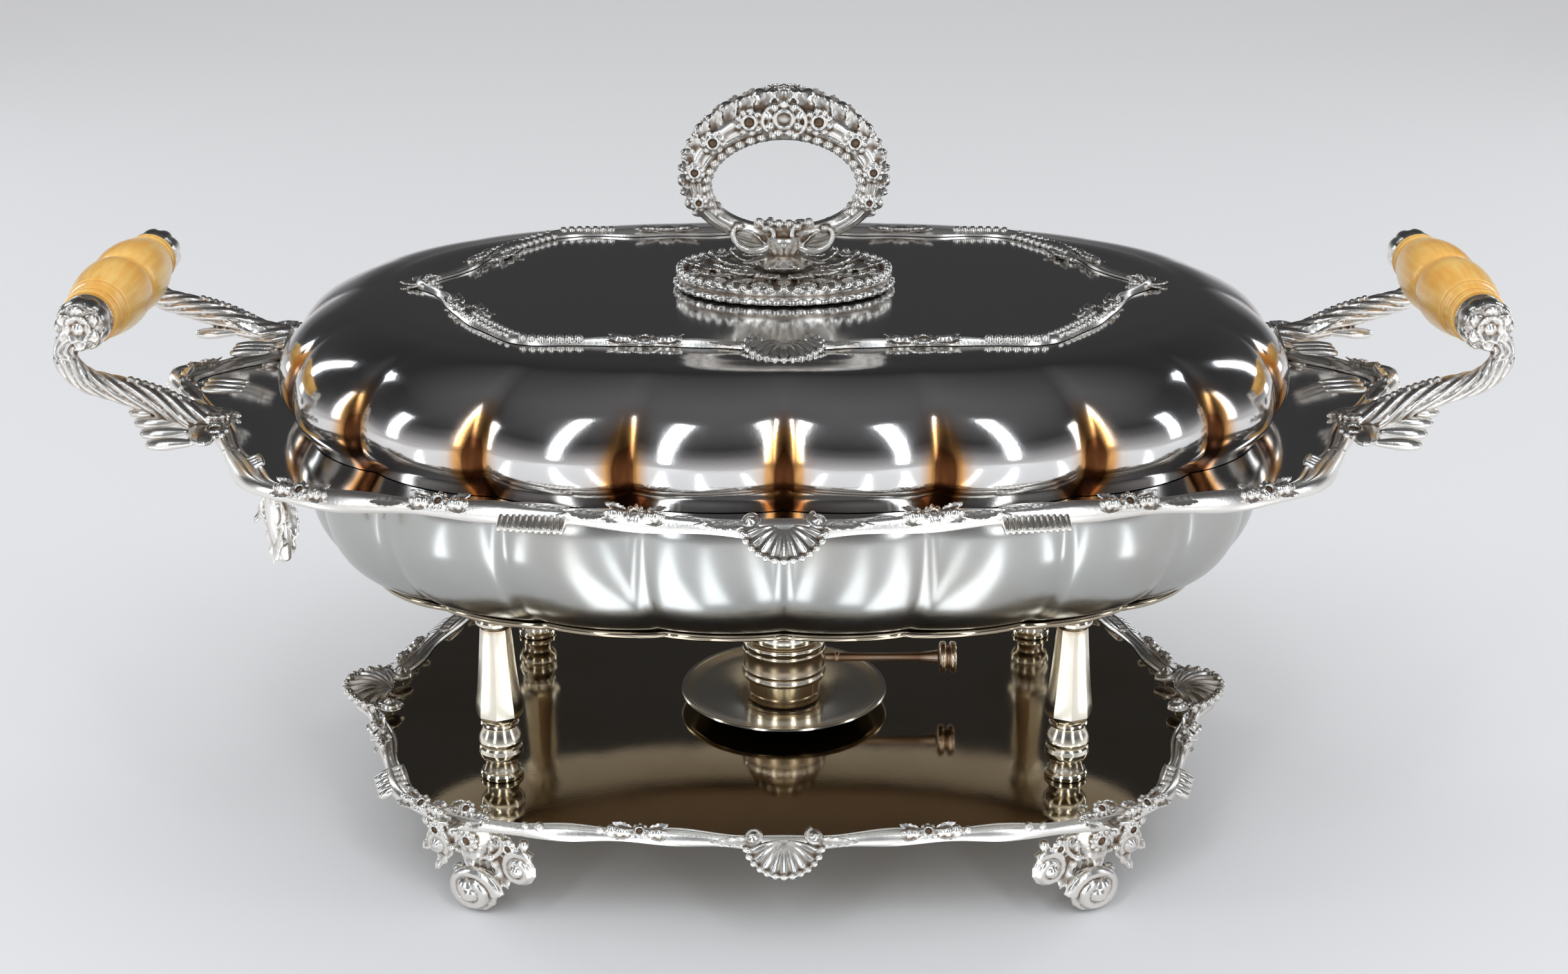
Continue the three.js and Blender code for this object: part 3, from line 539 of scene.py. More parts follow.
# %% Loft: rings of points, all of one count, closed at the ends on their middles or into a loop
def loft(rings, loop=False):
    deselect()
    count = len(rings[0])
    bpy.ops.mesh.primitive_circle_add(vertices=count, radius=1)
    piece = bpy.context.object
    bpy.ops.object.mode_set(mode="EDIT")
    bpy.ops.mesh.select_all(action="SELECT")
    for _ in rings[1:]:
        bpy.ops.mesh.extrude_edges_move()
    bpy.ops.object.mode_set(mode="OBJECT")
    start = corners(piece.data)[:count]
    order = np.round(np.arctan2(start[:, 1], start[:, 0]) / math.tau * count).astype(int) % count
    set_corners(piece.data, np.vstack([np.asarray(ring)[order] for ring in rings]))
    total = len(rings) * count
    ends = [range(count), range(total - count, total)]
    if loop:
        select(piece, [*ends[0], *ends[1]])
        bpy.ops.mesh.bridge_edge_loops()
    else:
        for end in ends:
            select(piece, end)
            bpy.ops.mesh.extrude_edges_move()
            bpy.ops.mesh.merge(type="CENTER")
    bpy.ops.mesh.select_all(action="SELECT")
    bpy.ops.mesh.normals_make_consistent(inside=False)
    bpy.ops.object.mode_set(mode="OBJECT")
    return taken(piece)

# %% Sheet: a grid whose shape is a function of across (-1 to 1) and along (0 to 1)
def sheet(columns, rows, shape, thickness):
    deselect()
    bpy.ops.mesh.primitive_grid_add(x_subdivisions=columns, y_subdivisions=rows, size=2)
    piece = bpy.context.object
    flat = corners(piece.data)
    across, along = flat[:, 0], (flat[:, 1] + 1) / 2
    set_corners(piece.data, np.column_stack(np.broadcast_arrays(*shape(across, along))))
    solid = piece.modifiers.new("thickness", "SOLIDIFY")
    solid.thickness = thickness
    solid.offset = 0
    apply_modifiers(piece)
    return taken(piece)

# %% Rod: a round wire of changing thickness along points
def rod(points, radii, sides=8):
    curve = bpy.data.curves.new("rod", "CURVE")
    curve.dimensions = "3D"
    curve.bevel_depth = 1
    curve.bevel_resolution = max(1, sides // 2 - 2)
    curve.use_fill_caps = True
    spline = curve.splines.new("POLY")
    spline.points.add(len(points) - 1)
    for point, place, radius in zip(spline.points, points, radii):
        point.co = (*place, 1)
        point.radius = radius
    deselect()
    wire = bpy.data.objects.new("rod", curve)
    bpy.context.scene.collection.objects.link(wire)
    wire.select_set(True)
    bpy.context.view_layer.objects.active = wire
    bpy.ops.object.convert(target="MESH")
    return taken(bpy.context.object)

# %% Casting: parts joined, melted into one skin, smoothed a little and thinned out
def cast(meshes, grain, keep=0.5):
    piece = joined("casting", meshes)
    skin = piece.modifiers.new("skin", "REMESH")
    skin.mode = "VOXEL"
    skin.voxel_size = grain
    smooth = piece.modifiers.new("smooth", "SMOOTH")
    smooth.factor = 0.5
    smooth.iterations = 1
    fewer = piece.modifiers.new("fewer", "DECIMATE")
    fewer.ratio = keep
    apply_modifiers(piece)
    mark_hollows(piece.data)
    return taken(piece)

# %% [markdown]
# ## Outlines
#
# Three closed outlines drive the borders: the flange, the tray and the lid's flat top. Each is drawn by the
# points of one quarter, mirrored, and joined by one smooth curve. The dish, pan and lid follow a fuller oval
# whose side is blown out into twenty lobes.

# %% Smooth curves through points, of any number of coordinates
def spline(points, steps, closed=False):
    p = np.array(points, float)
    if not closed:
        p = np.vstack([2 * p[0] - p[1], p, 2 * p[-1] - p[-2]])
    total = len(p)
    spans = total if closed else total - 3
    share = np.linspace(0, 1, steps, endpoint=False)[:, None]
    run = []
    for i in range(spans):
        a, b, c, d = (p[(i + k - (1 if closed else 0)) % total] for k in range(4))
        ab, bc, cd = (max(np.linalg.norm(q - r) ** 0.5, 1e-6) for r, q in ((a, b), (b, c), (c, d)))
        leave = ((b - a) / ab - (c - a) / (ab + bc) + (c - b) / bc) * bc
        arrive = ((c - b) / bc - (d - b) / (bc + cd) + (d - c) / cd) * bc
        square, cube = share ** 2, share ** 3
        start = b + leave * share + (3 * (c - b) - 2 * leave - arrive) * square
        run.append(start + (2 * (b - c) + leave + arrive) * cube)
    if not closed:
        run.append(p[-2:-1])
    return np.vstack(run)

# %% Outlines from one quarter, and even stations along them
EDGE_STEPS = 24
TANGENT_STEP = 0.0008


def quartered(quarter):
    turn = [*quarter, *[(x, -y) for x, y in quarter[-2::-1]]]
    turn += [(-x, -y) for x, y in quarter[1:]]
    turn += [(-x, y) for x, y in quarter[-2:0:-1]]
    return spline(turn, EDGE_STEPS, closed=True)


def stations(outline, shares):
    """Points and outward directions at shares of an outline's length, anticlockwise from its front."""
    ring = np.vstack([outline, outline[:1]])
    run = np.concatenate([[0], np.cumsum(np.linalg.norm(np.diff(ring, axis=0), axis=1))])

    def found(share):
        return np.column_stack([np.interp(np.mod(share, 1) * run[-1], run, ring[:, k]) for k in (0, 1)])

    shares = np.asarray(shares, float)
    along = found(shares + TANGENT_STEP) - found(shares - TANGENT_STEP)
    along /= np.linalg.norm(along, axis=1)[:, None]
    return found(shares), np.column_stack([along[:, 1], -along[:, 0]])


def even(count):
    return np.arange(count) / count


FLANGE_EDGE = quartered([
    (0, -170), (36, -165), (74, -157), (112, -151), (152, -143), (190, -135),
    (214, -121), (228, -96), (243, -62), (262, -26), (276, 0),
])
TRAY_EDGE = quartered([
    (0, -142), (34, -137), (76, -133), (112, -129), (146, -118),
    (168, -98), (178, -70), (186, -44), (194, -20), (204, 0),
])
PANEL_EDGE = quartered([
    (0, -100), (30, -95), (72, -92), (108, -90), (126, -70), (140, -46), (150, -20), (163, 0),
])
print("outline points", len(FLANGE_EDGE), len(TRAY_EDGE), len(PANEL_EDGE))

# %% Ovals and lobes
OVAL_POWER = 2.4
OVAL_POINTS = 1440
LOBES = 20
LOBE_STEPS = 14
LOBE_SHARES = even(LOBES * LOBE_STEPS)
SWELL = np.abs(np.sin(np.pi * LOBE_SHARES * LOBES)) ** 0.7


def oval(half_length, half_depth):
    angle = np.linspace(0, math.tau, OVAL_POINTS, endpoint=False) - math.pi / 2
    c, s = np.cos(angle), np.sin(angle)
    bend = 2 / OVAL_POWER
    return np.column_stack([
        half_length * np.sign(c) * np.abs(c) ** bend, half_depth * np.sign(s) * np.abs(s) ** bend
    ])


def level(points, height):
    return np.column_stack([points, np.full(len(points), float(height))])


def lobed(half_length, half_depth, swell, height):
    at, out = stations(oval(half_length, half_depth), LOBE_SHARES)
    return level(at + out * (swell * SWELL)[:, None], height)


def round_ring(radius, height, count):
    angle = even(count) * math.tau - math.pi / 2
    return level(radius * np.column_stack([np.cos(angle), np.sin(angle)]), height)

# %% Heights above the table, from the frame
def top_of(name):
    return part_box(name)[1].z / MM


def bottom_of(name):
    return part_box(name)[0].z / MM


TRAY_TOP = top_of("tray_plate")
PAN_BOTTOM = bottom_of("water_pan")
PAN_RIM = top_of("water_pan")
LID_BOTTOM = bottom_of("lid_shell")
LID_CREST = top_of("lid_shell")
FLANGE_TOP = LID_BOTTOM - 0.3
SHEET = 1.4
WALL = 1.3
print("tray", TRAY_TOP, "pan", PAN_BOTTOM, PAN_RIM, "lid", LID_BOTTOM, LID_CREST)

# %% [markdown]
# ## The lid
#
# The lid is one sheet raised into a dome. Its flat top is polished like a mirror, its shoulder is smooth, and
# the lobes deepen from the shoulder down to the rim. A loft of rings does this well, because each ring can
# have its own size and its own depth of lobe. The inner wall follows the outer one, and the creases between
# the lobes are marked as hollows, where an amber reflection and a dark shade are painted into the colour.

# %% A wall inside a profile of half length, half depth, swell and height
def lined(profile, thickness):
    table = np.array(profile)
    slope = np.gradient(table[:, [0, 3]], axis=0)
    slope /= np.linalg.norm(slope, axis=1)[:, None]
    inner = table.copy()
    inner[:, :2] -= (thickness * slope[:, 1])[:, None]
    inner[:, 3] += thickness * slope[:, 0]
    return inner

# %% Painted amber reflection and dark shade in the creases: full near the rim, and gone on the shoulder
CREASE_OVAL = (200, 135)
CREASE_WIDTH = 0.28
CREASE_FULL, CREASE_GONE = 20, 41
CREASE_STRENGTH = 0.9
CREASE_SAMPLES = 2880


def painted_crease_light(place):
    """Hollow values for corners of the lid, from their share of the way round and their height, which paint a
    reflection and a shade into the creases.
    """
    half_length, half_depth = CREASE_OVAL
    shares = even(CREASE_SAMPLES)
    at = stations(oval(half_length, half_depth), shares)[0]
    known = np.arctan2(at[:, 1] / half_depth, at[:, 0] / half_length)
    angle = np.arctan2(place[:, 1] / half_depth, place[:, 0] / half_length)
    order = np.argsort(known)
    near = np.abs(np.sin(np.pi * LOBES * np.interp(angle, known[order], shares[order])))
    fade = np.clip((CREASE_GONE - (place[:, 2] - LID_BOTTOM)) / (CREASE_GONE - CREASE_FULL), 0, 1)
    return CREASE_STRENGTH * fade * np.exp(-(near / CREASE_WIDTH) ** 2)

# %% Lid shell
LID_SIDE = [
    (213, 148, 3.6, 0), (219, 154, 5, 12), (218, 153, 5, 26), (210, 145, 3.8, 39), (194, 128, 1.2, 48.6),
    (176, 110, 0, 51),
]
BOLT_HOLE = 2.9

lid_outer = spline(LID_SIDE, 6)
lid_inner = lined(lid_outer, WALL)[::-1]
lid_rings = [lobed(a, b, swell, LID_BOTTOM + h) for a, b, swell, h in lid_outer]
lid_rings += [level(stations(oval(a, b), LOBE_SHARES)[0], LID_CREST) for a, b in ((168, 103), (90, 60))]
lid_rings += [round_ring(BOLT_HOLE, LID_CREST - drop, len(LOBE_SHARES)) for drop in (0, WALL)]
lid_rings += [lobed(a, b, swell, min(LID_BOTTOM + h, LID_CREST - WALL)) for a, b, swell, h in lid_inner]
lid = loft(lid_rings, loop=True)
# The creases between the lobes get hollow values, which paint an amber reflection and a dark shade into them
write_hollows(lid, painted_crease_light(corners(lid)))
settle("lid", [lid], "lid", silver_polished, "lid_shell", crease=60)

# %% [markdown]
# ## The water pan
#
# The pan repeats the lid's lobes upside down. Its floor is flat, where it rests on the stand's frame, and its
# outer underside is marked as hollow, because the flame browns it and no cloth gets there.

# %% Water pan
PAN_SIDE = [
    (186, 108, 2.6, 0), (197, 120, 3.6, 4), (206, 134, 4.6, 17), (210, 144, 5, 36), (209, 146, 4.6, 54),
    (206.5, 143, 3.6, 66.4),
]

pan_outer = spline(PAN_SIDE, 6)
pan_inner = lined(pan_outer, WALL)[::-1]
pan_rings = [lobed(60, 34, 0, PAN_BOTTOM), lobed(182, 104, 2.2, PAN_BOTTOM)]
pan_rings += [lobed(a, b, swell, PAN_BOTTOM + h) for a, b, swell, h in pan_outer]
pan_rings += [lobed(a, b, swell, PAN_BOTTOM + max(h, WALL)) for a, b, swell, h in pan_inner]
pan_rings += [lobed(60, 34, 0, PAN_BOTTOM + WALL)]
pan = loft(pan_rings)
write_hollows(pan, (PAN_BOTTOM + WALL - corners(pan)[:, 2]) / WALL)
settle("pan", [pan], "water_pan", silver_pan_painted_shade, "water_pan", crease=60)

# %% [markdown]
# ## The food dish
#
# The dish is an oval well with a wide flange that rests on the pan's rim. The flange is level under the lid
# and sweeps up towards the handles.

# %% Food dish
DISH_MOUTH = (202.2, 139)
WELL_SIDE = [(60, 30.6), (27, 30.6), (13, 24.6), (4, 8), (0, 0)]
SWEEP_START = 226
FLANGE_TIP = 276
FLANGE_SWEEP = 8
FLANGE_COUNT = 260


def flange_top(x):
    share = np.maximum(0, np.abs(x) - SWEEP_START) / (FLANGE_TIP - SWEEP_START)
    return FLANGE_TOP + FLANGE_SWEEP * share ** 1.4


def well_ring(inset, down):
    outline = oval(DISH_MOUTH[0] - SHEET - inset, DISH_MOUTH[1] - SHEET - inset)
    return level(stations(outline, even(FLANGE_COUNT))[0], FLANGE_TOP - down)


def flange_ring(share, down=0):
    mouth = well_ring(0, 0)[:, :2]
    edge = stations(FLANGE_EDGE, even(FLANGE_COUNT))[0]
    flat = mouth + (edge - mouth) * share
    return np.column_stack([flat, flange_top(flat[:, 0]) - down])


well = spline(WELL_SIDE, 5)
dish_rings = [well_ring(inset, down) for inset, down in well[:-1]]
dish_rings += [flange_ring(share) for share in np.linspace(0, 1, 9)]
dish_rings += [flange_ring(share, SHEET) for share in np.linspace(1, 0.02, 9)]
dish_rings += [well_ring(inset - SHEET, down + SHEET * 0.6) for inset, down in well[-2::-1]]
settle("dish", [loft(dish_rings)], "food_dish", silver_polished, "food_dish", crease=50)

# %% [markdown]
# ## Motifs for the castings
#
# The borders, feet, handles and wreath are cast from the same small family of shapes: beads, leaves, flowers,
# scrolls, fan shells and finger-like gadroons. Each is modelled once, in its own little frame, and copied.

# %% Bead and gadroon: round forms
def bead():
    deselect()
    bpy.ops.mesh.primitive_uv_sphere_add(segments=12, ring_count=8, radius=1)
    return taken(bpy.context.object)


def gadroon():
    """A finger 1 long and 0.3 wide that starts thin and ends blunt, along -Y."""
    mesh = bead()
    x, y, z = corners(mesh).T
    thin = 0.55 + 0.45 * np.clip((1 - y) / 1.2, 0, 1)
    thin *= np.maximum(np.hypot(x, z), 0.01) ** -0.45
    set_corners(mesh, np.column_stack([x * 0.15 * thin, y * 0.5 - 0.5, z * 0.17 * thin]))
    return mesh


BEAD, GADROON = bead(), gadroon()
print("bead", len(BEAD.polygons), "faces")

# %% Leaf: a lobed blade 1 long, with a groove along its rib and veins across it
def leaf(width=0.55, lobes=4, curl=0.35):
    def shape(across, along):
        body = np.sin(np.pi * np.clip(0.06 + 0.94 * along, 0, 1) ** 0.75) ** 0.7
        teeth = 0.74 + 0.26 * np.abs(np.sin(np.pi * lobes * along))
        half = width / 2 * body * teeth
        y = along + 0.10 * np.abs(across) * (1 - along) - curl * 0.3 * along ** 3
        rib = 0.16 * width * np.abs(across) ** 0.8 * body
        vein = 0.05 * width * np.cos(2 * np.pi * lobes * along) * np.abs(across)
        return across * half, -y, rib - vein + curl * along ** 2.4

    return sheet(12, 28, shape, 0.09)


LEAF = leaf()
LONG_LEAF = leaf(width=0.34, lobes=5, curl=0.2)
print("leaf", len(LEAF.polygons), "faces")

# %% Flower: two rows of cupped petals round a bead
FLOWER_ROWS = ((0, 0.62, 0.14, 18), (0.5, 0.36, 0.26, 42))


def flower(petals=6):
    parts = [copy(BEAD, (0, 0, 0.26), size=(0.24, 0.24, 0.2))]
    for shift, reach, lift, tilt in FLOWER_ROWS:
        for i in range(petals):
            petal = Matrix.Rotation(math.tau * (i + shift) / petals, 4, "Z")
            parts.append(copy(BEAD, (0, reach, lift), (tilt, 0, 0), (0.30, 0.34, 0.1), petal))
    parts.append(copy(BEAD, (0, 0, 0.05), size=(0.5, 0.5, 0.2)))
    return cast(parts, grain=0.045)


FLOWER = flower()
print("flower", len(FLOWER.polygons), "faces")

# %% Scroll: a strip whose two ends curl up to one side
def scroll(turn=2.4, hook=9.0, thick=0.07):
    share = np.linspace(-1, 1, 56)
    heading = np.cumsum(turn + hook * np.abs(share) ** 3.2) * (2 / len(share)) * 0.72
    heading -= heading[len(heading) // 2]
    path = np.cumsum(np.column_stack([np.cos(heading), np.sin(heading)]), axis=0)
    path -= path[len(path) // 2]
    path /= np.ptp(path[:, 0])
    points = np.column_stack([path, 0.05 * (1 - share ** 2)])
    strip = rod(points, thick * (0.75 + 0.45 * (1 - share ** 2)), 8)
    return merged([strip, *[copy(BEAD, points[k], size=thick * 1.5) for k in (0, -1)]])


C_SCROLL = scroll()
print("scroll", len(C_SCROLL.polygons), "faces")

# %% Fan shell: ribs that spread from a hinge at the origin towards -Y, radius 1
def fan(ribs=9, spread=80, rise=0.24, scallop=0.07):
    def shape(across, along):
        angle = np.radians(spread) * across
        turn = np.pi * ribs * (across + 1) / 2
        edge = 1 - scallop * (1 - np.abs(np.sin(turn)) ** 0.6) * along ** 3
        reach = (0.06 + 0.94 * along) * edge * (1 - 0.08 * np.abs(across) ** 3)
        groove = 0.085 * along ** 0.7 * np.abs(np.cos(turn)) ** 1.6
        dome = rise * np.sin(np.pi * (0.12 + 0.80 * along)) ** 0.8
        lip = 0.07 * np.clip((along - 0.86) / 0.14, 0, 1)
        return reach * np.sin(angle), -reach * np.cos(angle), dome - groove + lip

    return sheet(90, 22, shape, 0.05)


FAN = fan()
print("fan", len(FAN.polygons), "faces")

# %% Volute: a flat spiral with a ball in its eye, radius 1, facing +Z
def volute(turns=1.6):
    share = np.linspace(0, 1, 40)
    angle = share * turns * math.tau
    reach = 0.78 - 0.60 * share ** 0.8
    points = np.column_stack([reach * np.cos(angle), reach * np.sin(angle), 0.25 * share])
    strip = rod(points, 0.24 - 0.08 * share, 10)
    return merged([strip, copy(BEAD, (0, 0, 0.25), size=0.3), copy(BEAD, size=(0.8, 0.8, 0.2))])


VOLUTE = volute()
print("volute", len(VOLUTE.polygons), "faces")

# %% Open rosette: a ring of petals round a dark eye, radius 1, facing +Z
def open_rosette(petals=9):
    parts = []
    for i in range(petals):
        turn = Matrix.Rotation(math.tau * i / petals, 4, "Z")
        parts.append(copy(BEAD, (0, 0.76, 0.12), (20, 0, 0), (0.25, 0.27, 0.2), turn))
    ring = [(0.46 * math.cos(a), 0.46 * math.sin(a), 0.3) for a in even(28) * math.tau]
    parts.append(rod([*ring, ring[0]], np.full(29, 0.14), 8))
    parts.append(copy(BEAD, (0, 0, -0.05), size=(0.6, 0.6, 0.12)))
    return merged(parts)


ROSETTE = open_rosette()
print("rosette", len(ROSETTE.polygons), "faces")

# %% A pose for a motif: where it stands, which way it grows and which way it faces
def pose(at, grow, face):
    y = -Vector(grow).normalized()
    z = Vector(face)
    z = (z - z.dot(y) * y).normalized()
    place = Matrix((y.cross(z), y, z)).transposed().to_4x4()
    place.translation = at
    return place


def posed(shape, size, at, grow, face):
    """A motif's copy in its pose."""
    return copy(shape, size=size, seat=pose(at, grow, face))


UP, DOWN, OUT, BACK = (0, 0, 1), (0, 0, -1), (0, 1, 0), (0, -1, 0)

# %% [markdown]
# ## Borders
#
# Each border is a moulding with castings set on it. The moulding is a loft whose rings are the points of its
# section, carried round the outline. The castings are placed on a seat: a frame with X along the border, -Y
# outwards and Z up. What is placed in one quarter is mirrored into the other three.

# %% Seats on a border
SEAT_STEP = 0.003


def share_at(outline, kind, value):
    """The share of the first quarter where the outline passes a value of x or y, or that share itself."""
    if kind == "share":
        return value
    shares = np.linspace(0, 0.25, 400)
    return float(np.interp(value, stations(outline, shares)[0][:, "xy".index(kind)], shares))


def flat_top(height):
    return lambda x: np.full(np.shape(x), float(height))


def seat(outline, top, share, mirrored=False):
    near, far = stations(outline, [share - SEAT_STEP, share + SEAT_STEP])[0]
    at, out = (row[0] for row in stations(outline, [share]))
    along = Vector((*(far - near), float(top(far[0]) - top(near[0])))).normalized()
    inward = Vector((-out[0], -out[1], 0))
    up = along.cross(inward).normalized()
    inward = up.cross(along)
    place = Matrix((along, inward, up)).transposed().to_4x4()
    place.translation = (at[0], at[1], float(top(at[0])))
    return place @ Matrix.Diagonal((-1, 1, 1, 1)) if mirrored else place


def quarters(outline, top, share):
    """Mirrored seats for a share of the front right quarter: four, or two where it lies on a middle."""
    found = [(share, False), (0.5 - share, True), (0.5 + share, False), (1 - share, True)]
    if share in (0, 0.25):
        found = found[::2]
    return [seat(outline, top, place, mirrored) for place, mirrored in found]

# %% Mouldings
WAVES_ROUND = 12
SEAM = 0.3


def waist(share):
    """The band swells and narrows along its length."""
    return 0.72 + 0.34 * np.cos(2 * np.pi * share * WAVES_ROUND) ** 2


def moulding(outline, top, section, count):
    at, out = stations(outline, even(count))
    scale = waist(even(count))
    rings = []
    for side, rise in section:
        flat = at + out * (side * scale)[:, None]
        rings.append(np.column_stack([flat, top(flat[:, 0]) + SEAM + rise * scale]))
    mesh = loft(rings, loop=True)
    mark_hollows(mesh, passes=6, full=0.5)
    return mesh

# %% Sections: side and rise from the sheet's edge, with a fine line inside and a heavy roll at the edge
RIM_SECTION = np.array([
    (-8, 0), (-7.8, 1.0), (-7.1, 1.6), (-6.3, 1.3), (-5.9, 0.7), (-5.2, 1.2), (-4.3, 2.2), (-3.0, 2.7), (-2.0, 2.3),
    (-1.5, 2.0), (-0.9, 2.8), (0.2, 3.3), (1.4, 2.7), (2.4, 1.3), (3.0, -0.6), (2.8, -2.4), (1.9, -3.4), (0.6, -3.2),
    (0.4, 0),
])
FLAT_SECTION = [
    (-4.2, 0), (-4, 1.0), (-3.4, 1.4), (-2.8, 0.9), (-2.3, 1.3), (-1.2, 2.6), (0, 3), (1, 2.2), (1.6, 1.1), (2.2, 0),
]

# %% Castings that the borders share, which face outwards and up
def leaning(degrees):
    """The directions along and off a surface that slopes down towards the outside."""
    lean = math.radians(degrees)
    return Vector((0, -math.cos(lean), -math.sin(lean))), Vector((0, -math.sin(lean), math.cos(lean)))


DROOP, SLOPE = leaning(38.5)


def shell_casting(radius, degrees, leaves):
    """A fan shell that slopes by some degrees, between two volutes, with beads along its edge and side leaves."""
    grow, face = leaning(degrees)
    hinge = Vector((0, 1, 1.8))
    parts = [posed(FAN, (radius, radius, radius * 0.7), hinge, grow, face)]
    for angle in np.radians(np.linspace(-75, 75, 13)):
        edge = Vector((math.sin(angle), 0, 0)) + grow * math.cos(angle)
        parts.append(copy(BEAD, hinge + edge * radius * 0.95 + face * 1.4, size=radius * 0.085))
    for sx in (-1, 1):
        parts.append(posed(VOLUTE, radius * 0.3, (sx * radius * 0.74, 2, 3), (sx, 0.4, 0), face))
        if leaves:
            at = (sx * radius * 0.62, 0.5, 2.2)
            parts.append(posed(LONG_LEAF, (radius * 0.85, radius * 1.25, 6), at, (sx, -0.12, 0), face))
    return cast(parts, grain=0.4)


def cluster(half, degrees):
    """A dark-eyed flower between beads and four curling leaves."""
    grow, face = leaning(degrees)
    parts = [posed(ROSETTE, (4.1, 4.1, 4.6), (0, -0.6, 2.6), grow, face)]
    for sx in (-1, 1):
        for step, size in ((0.5, 1.9), (0.74, 2.2), (0.97, 1.5)):
            parts.append(copy(BEAD, Vector((sx * half * step, -0.4, 2.2)) + face * 0.8, size=size))
        for sy in (-1, 1):
            at, away = Vector((sx * 3, 0, 2.2)) - grow * sy * 1.5, Vector((sx, 0, 0)) - grow * sy * 0.22
            parts.append(posed(LEAF, (7, half * 0.95, 5), at, away, face))
    return cast(parts, grain=0.4)

# %% Castings that lie along the border: combs of gadroons, and strands of leaves
def comb(fingers, step, length, thick):
    parts = [copy(BEAD, (0, length * 0.3, 2.2), size=(fingers * step * 0.5, 1.4, 1.4))]
    for i in range(fingers):
        at = ((i - (fingers - 1) / 2) * step, length * 0.34, 2.6)
        parts.append(posed(GADROON, (step / 0.27, length, thick / 0.34), at, (0, -1, -0.45), SLOPE))
    return cast(parts, grain=0.35)


def strand(length):
    along = Vector((-1, 0, 0)) + DROOP * 0.12
    roots = ((length / 2, 0.8, 2.4), (0, -1.2, 2.4))
    return cast([posed(LONG_LEAF, (15, length * 0.55, 7), at, along, SLOPE) for at in roots], grain=0.4)


SHELL = shell_casting(17.5, 38, True)
LOW_SHELL = shell_casting(17.5, 10, True)
TIP_SHELL = shell_casting(25, -8, False)
CLUSTER = cluster(11, 38)
LOW_CLUSTER = cluster(11, 10)
COMB = comb(4, 5.2, 15, 5)
RIBBON = comb(11, 2.5, 16, 4.4)
STRAND = strand(30)
print("castings", [len(mesh.polygons) for mesh in (SHELL, LOW_SHELL, TIP_SHELL, CLUSTER, COMB, RIBBON)])

# %% Leaf spray: three leaves that spread from one root, for corners and tips
def spray(length, width):
    parts = [posed(LEAF, (width * 1.1, length, length * 0.5), (0, 3, 2.5), (0, -1, -0.2), UP)]
    for sx in (-1, 1):
        away = (sx * 0.9, -1, -0.3)
        parts.append(posed(LEAF, (width, length * 0.85, length * 0.5), (sx * 1.5, 3, 2), away, SLOPE))
        at, size = (sx * width * 0.55, 4, 2.6), (sx * width * 0.55, width * 0.55, width * 0.8)
        parts.append(copy(C_SCROLL, at, (0, 0, sx * 90), size))
        parts.append(copy(BEAD, (sx * width * 0.62, -1, 2.4), size=2))
    parts.append(posed(ROSETTE, (4.6, 4.6, 5), (0, 0.5, 4), DROOP, SLOPE))
    return cast(parts, grain=0.45)


SPRAY = spray(22, 18)
print("spray", len(SPRAY.polygons), "faces")

# %% The ear: leaf and gadroons on the flange between the handle arms, drawn at the rear right
def ear():
    parts = [posed(LEAF, (15, 17, 9), (252, 51, 211), (0.72, -0.5, 0.42), (-0.5, 0.3, 1))]
    for y in (23, 29, 35):
        parts.append(copy(GADROON, (237, y, 210.5), (0, 0, 84), (17, 20, 12)))
    for x, y, turn in ((242, 37, -30), (233, 82, 25), (247, 46, -40)):
        parts.append(copy(BEAD, (x, y, float(flange_top(x)) + 1), (0, 0, turn), (4.4, 1.6, 1.6)))
    return cast(parts, grain=0.45)


EAR = ear()
print("ear", len(EAR.polygons), "faces")

# %% A whole border: its moulding, and rows of casting, place along the quarter, offset and size
def border(name, body, node_name, outline, top, section, count, rows, extra=()):
    meshes = [moulding(outline, top, section, count), *extra]
    for shape, kind, value, at, size in rows:
        for spot in quarters(outline, top, share_at(outline, kind, value)):
            meshes.append(copy(shape, at, size=size, seat=spot))
    settle(name, meshes, body, silver_cast, node_name)


HERE = (0, 0, 0)

# %% The dish's border
DISH_ROWS = [
    (SHELL, "share", 0, HERE, 1),
    (COMB, "share", 0.25, (0, 3, 0.5), (0.7, 0.8, 1)),
    (CLUSTER, "y", -16, (0, 1, 0), (0.8, 0.9, 1)),
    *[(CLUSTER, "x", x, HERE, (1.05, 1.1, 1.15)) for x in (58, 136, 193)],
    *[(STRAND, "x", x, HERE, 1) for x in (30, 84, 165)],
    (RIBBON, "x", 98, HERE, 1),
    (COMB, "y", -101, (0, 5, 0.5), (0.62, 0.95, 1.2)),
]
ears = [copy(EAR, seat=Matrix.Diagonal((sx, sy, 1, 1))) for sx in (-1, 1) for sy in (-1, 1)]
border(
    "dish_rim", "food_dish", "dish_border", FLANGE_EDGE, flange_top, section=RIM_SECTION * 1.1, count=720,
    rows=DISH_ROWS, extra=ears,
)

# %% The tray's border
TRAY_ROWS = [
    (SHELL, "share", 0, HERE, 1),
    (TIP_SHELL, "share", 0.25, (0, 16, 1), (0.95, 0.95, 1.1)),
    (CLUSTER, "x", 61, HERE, 1),
    *[(BEAD, "x", x, (0, -0.5, 3), size) for x, size in ((73, 2.6), (78, 1.8), (104, 2.2), (110, 1.7))],
    (CLUSTER, "y", -46, (0, 0, 1), 1.25),
    (COMB, "y", -84, (0, 1, 0.5), 1),
    (SPRAY, "x", 138, (0, 4, 0.5), 0.9),
    (CLUSTER, "x", 156, (0, 0, 0.5), 1.1),
]
border(
    "tray_rim", "stand", "tray_border", TRAY_EDGE, flat_top(TRAY_TOP), section=RIM_SECTION * 0.85, count=560,
    rows=TRAY_ROWS,
)

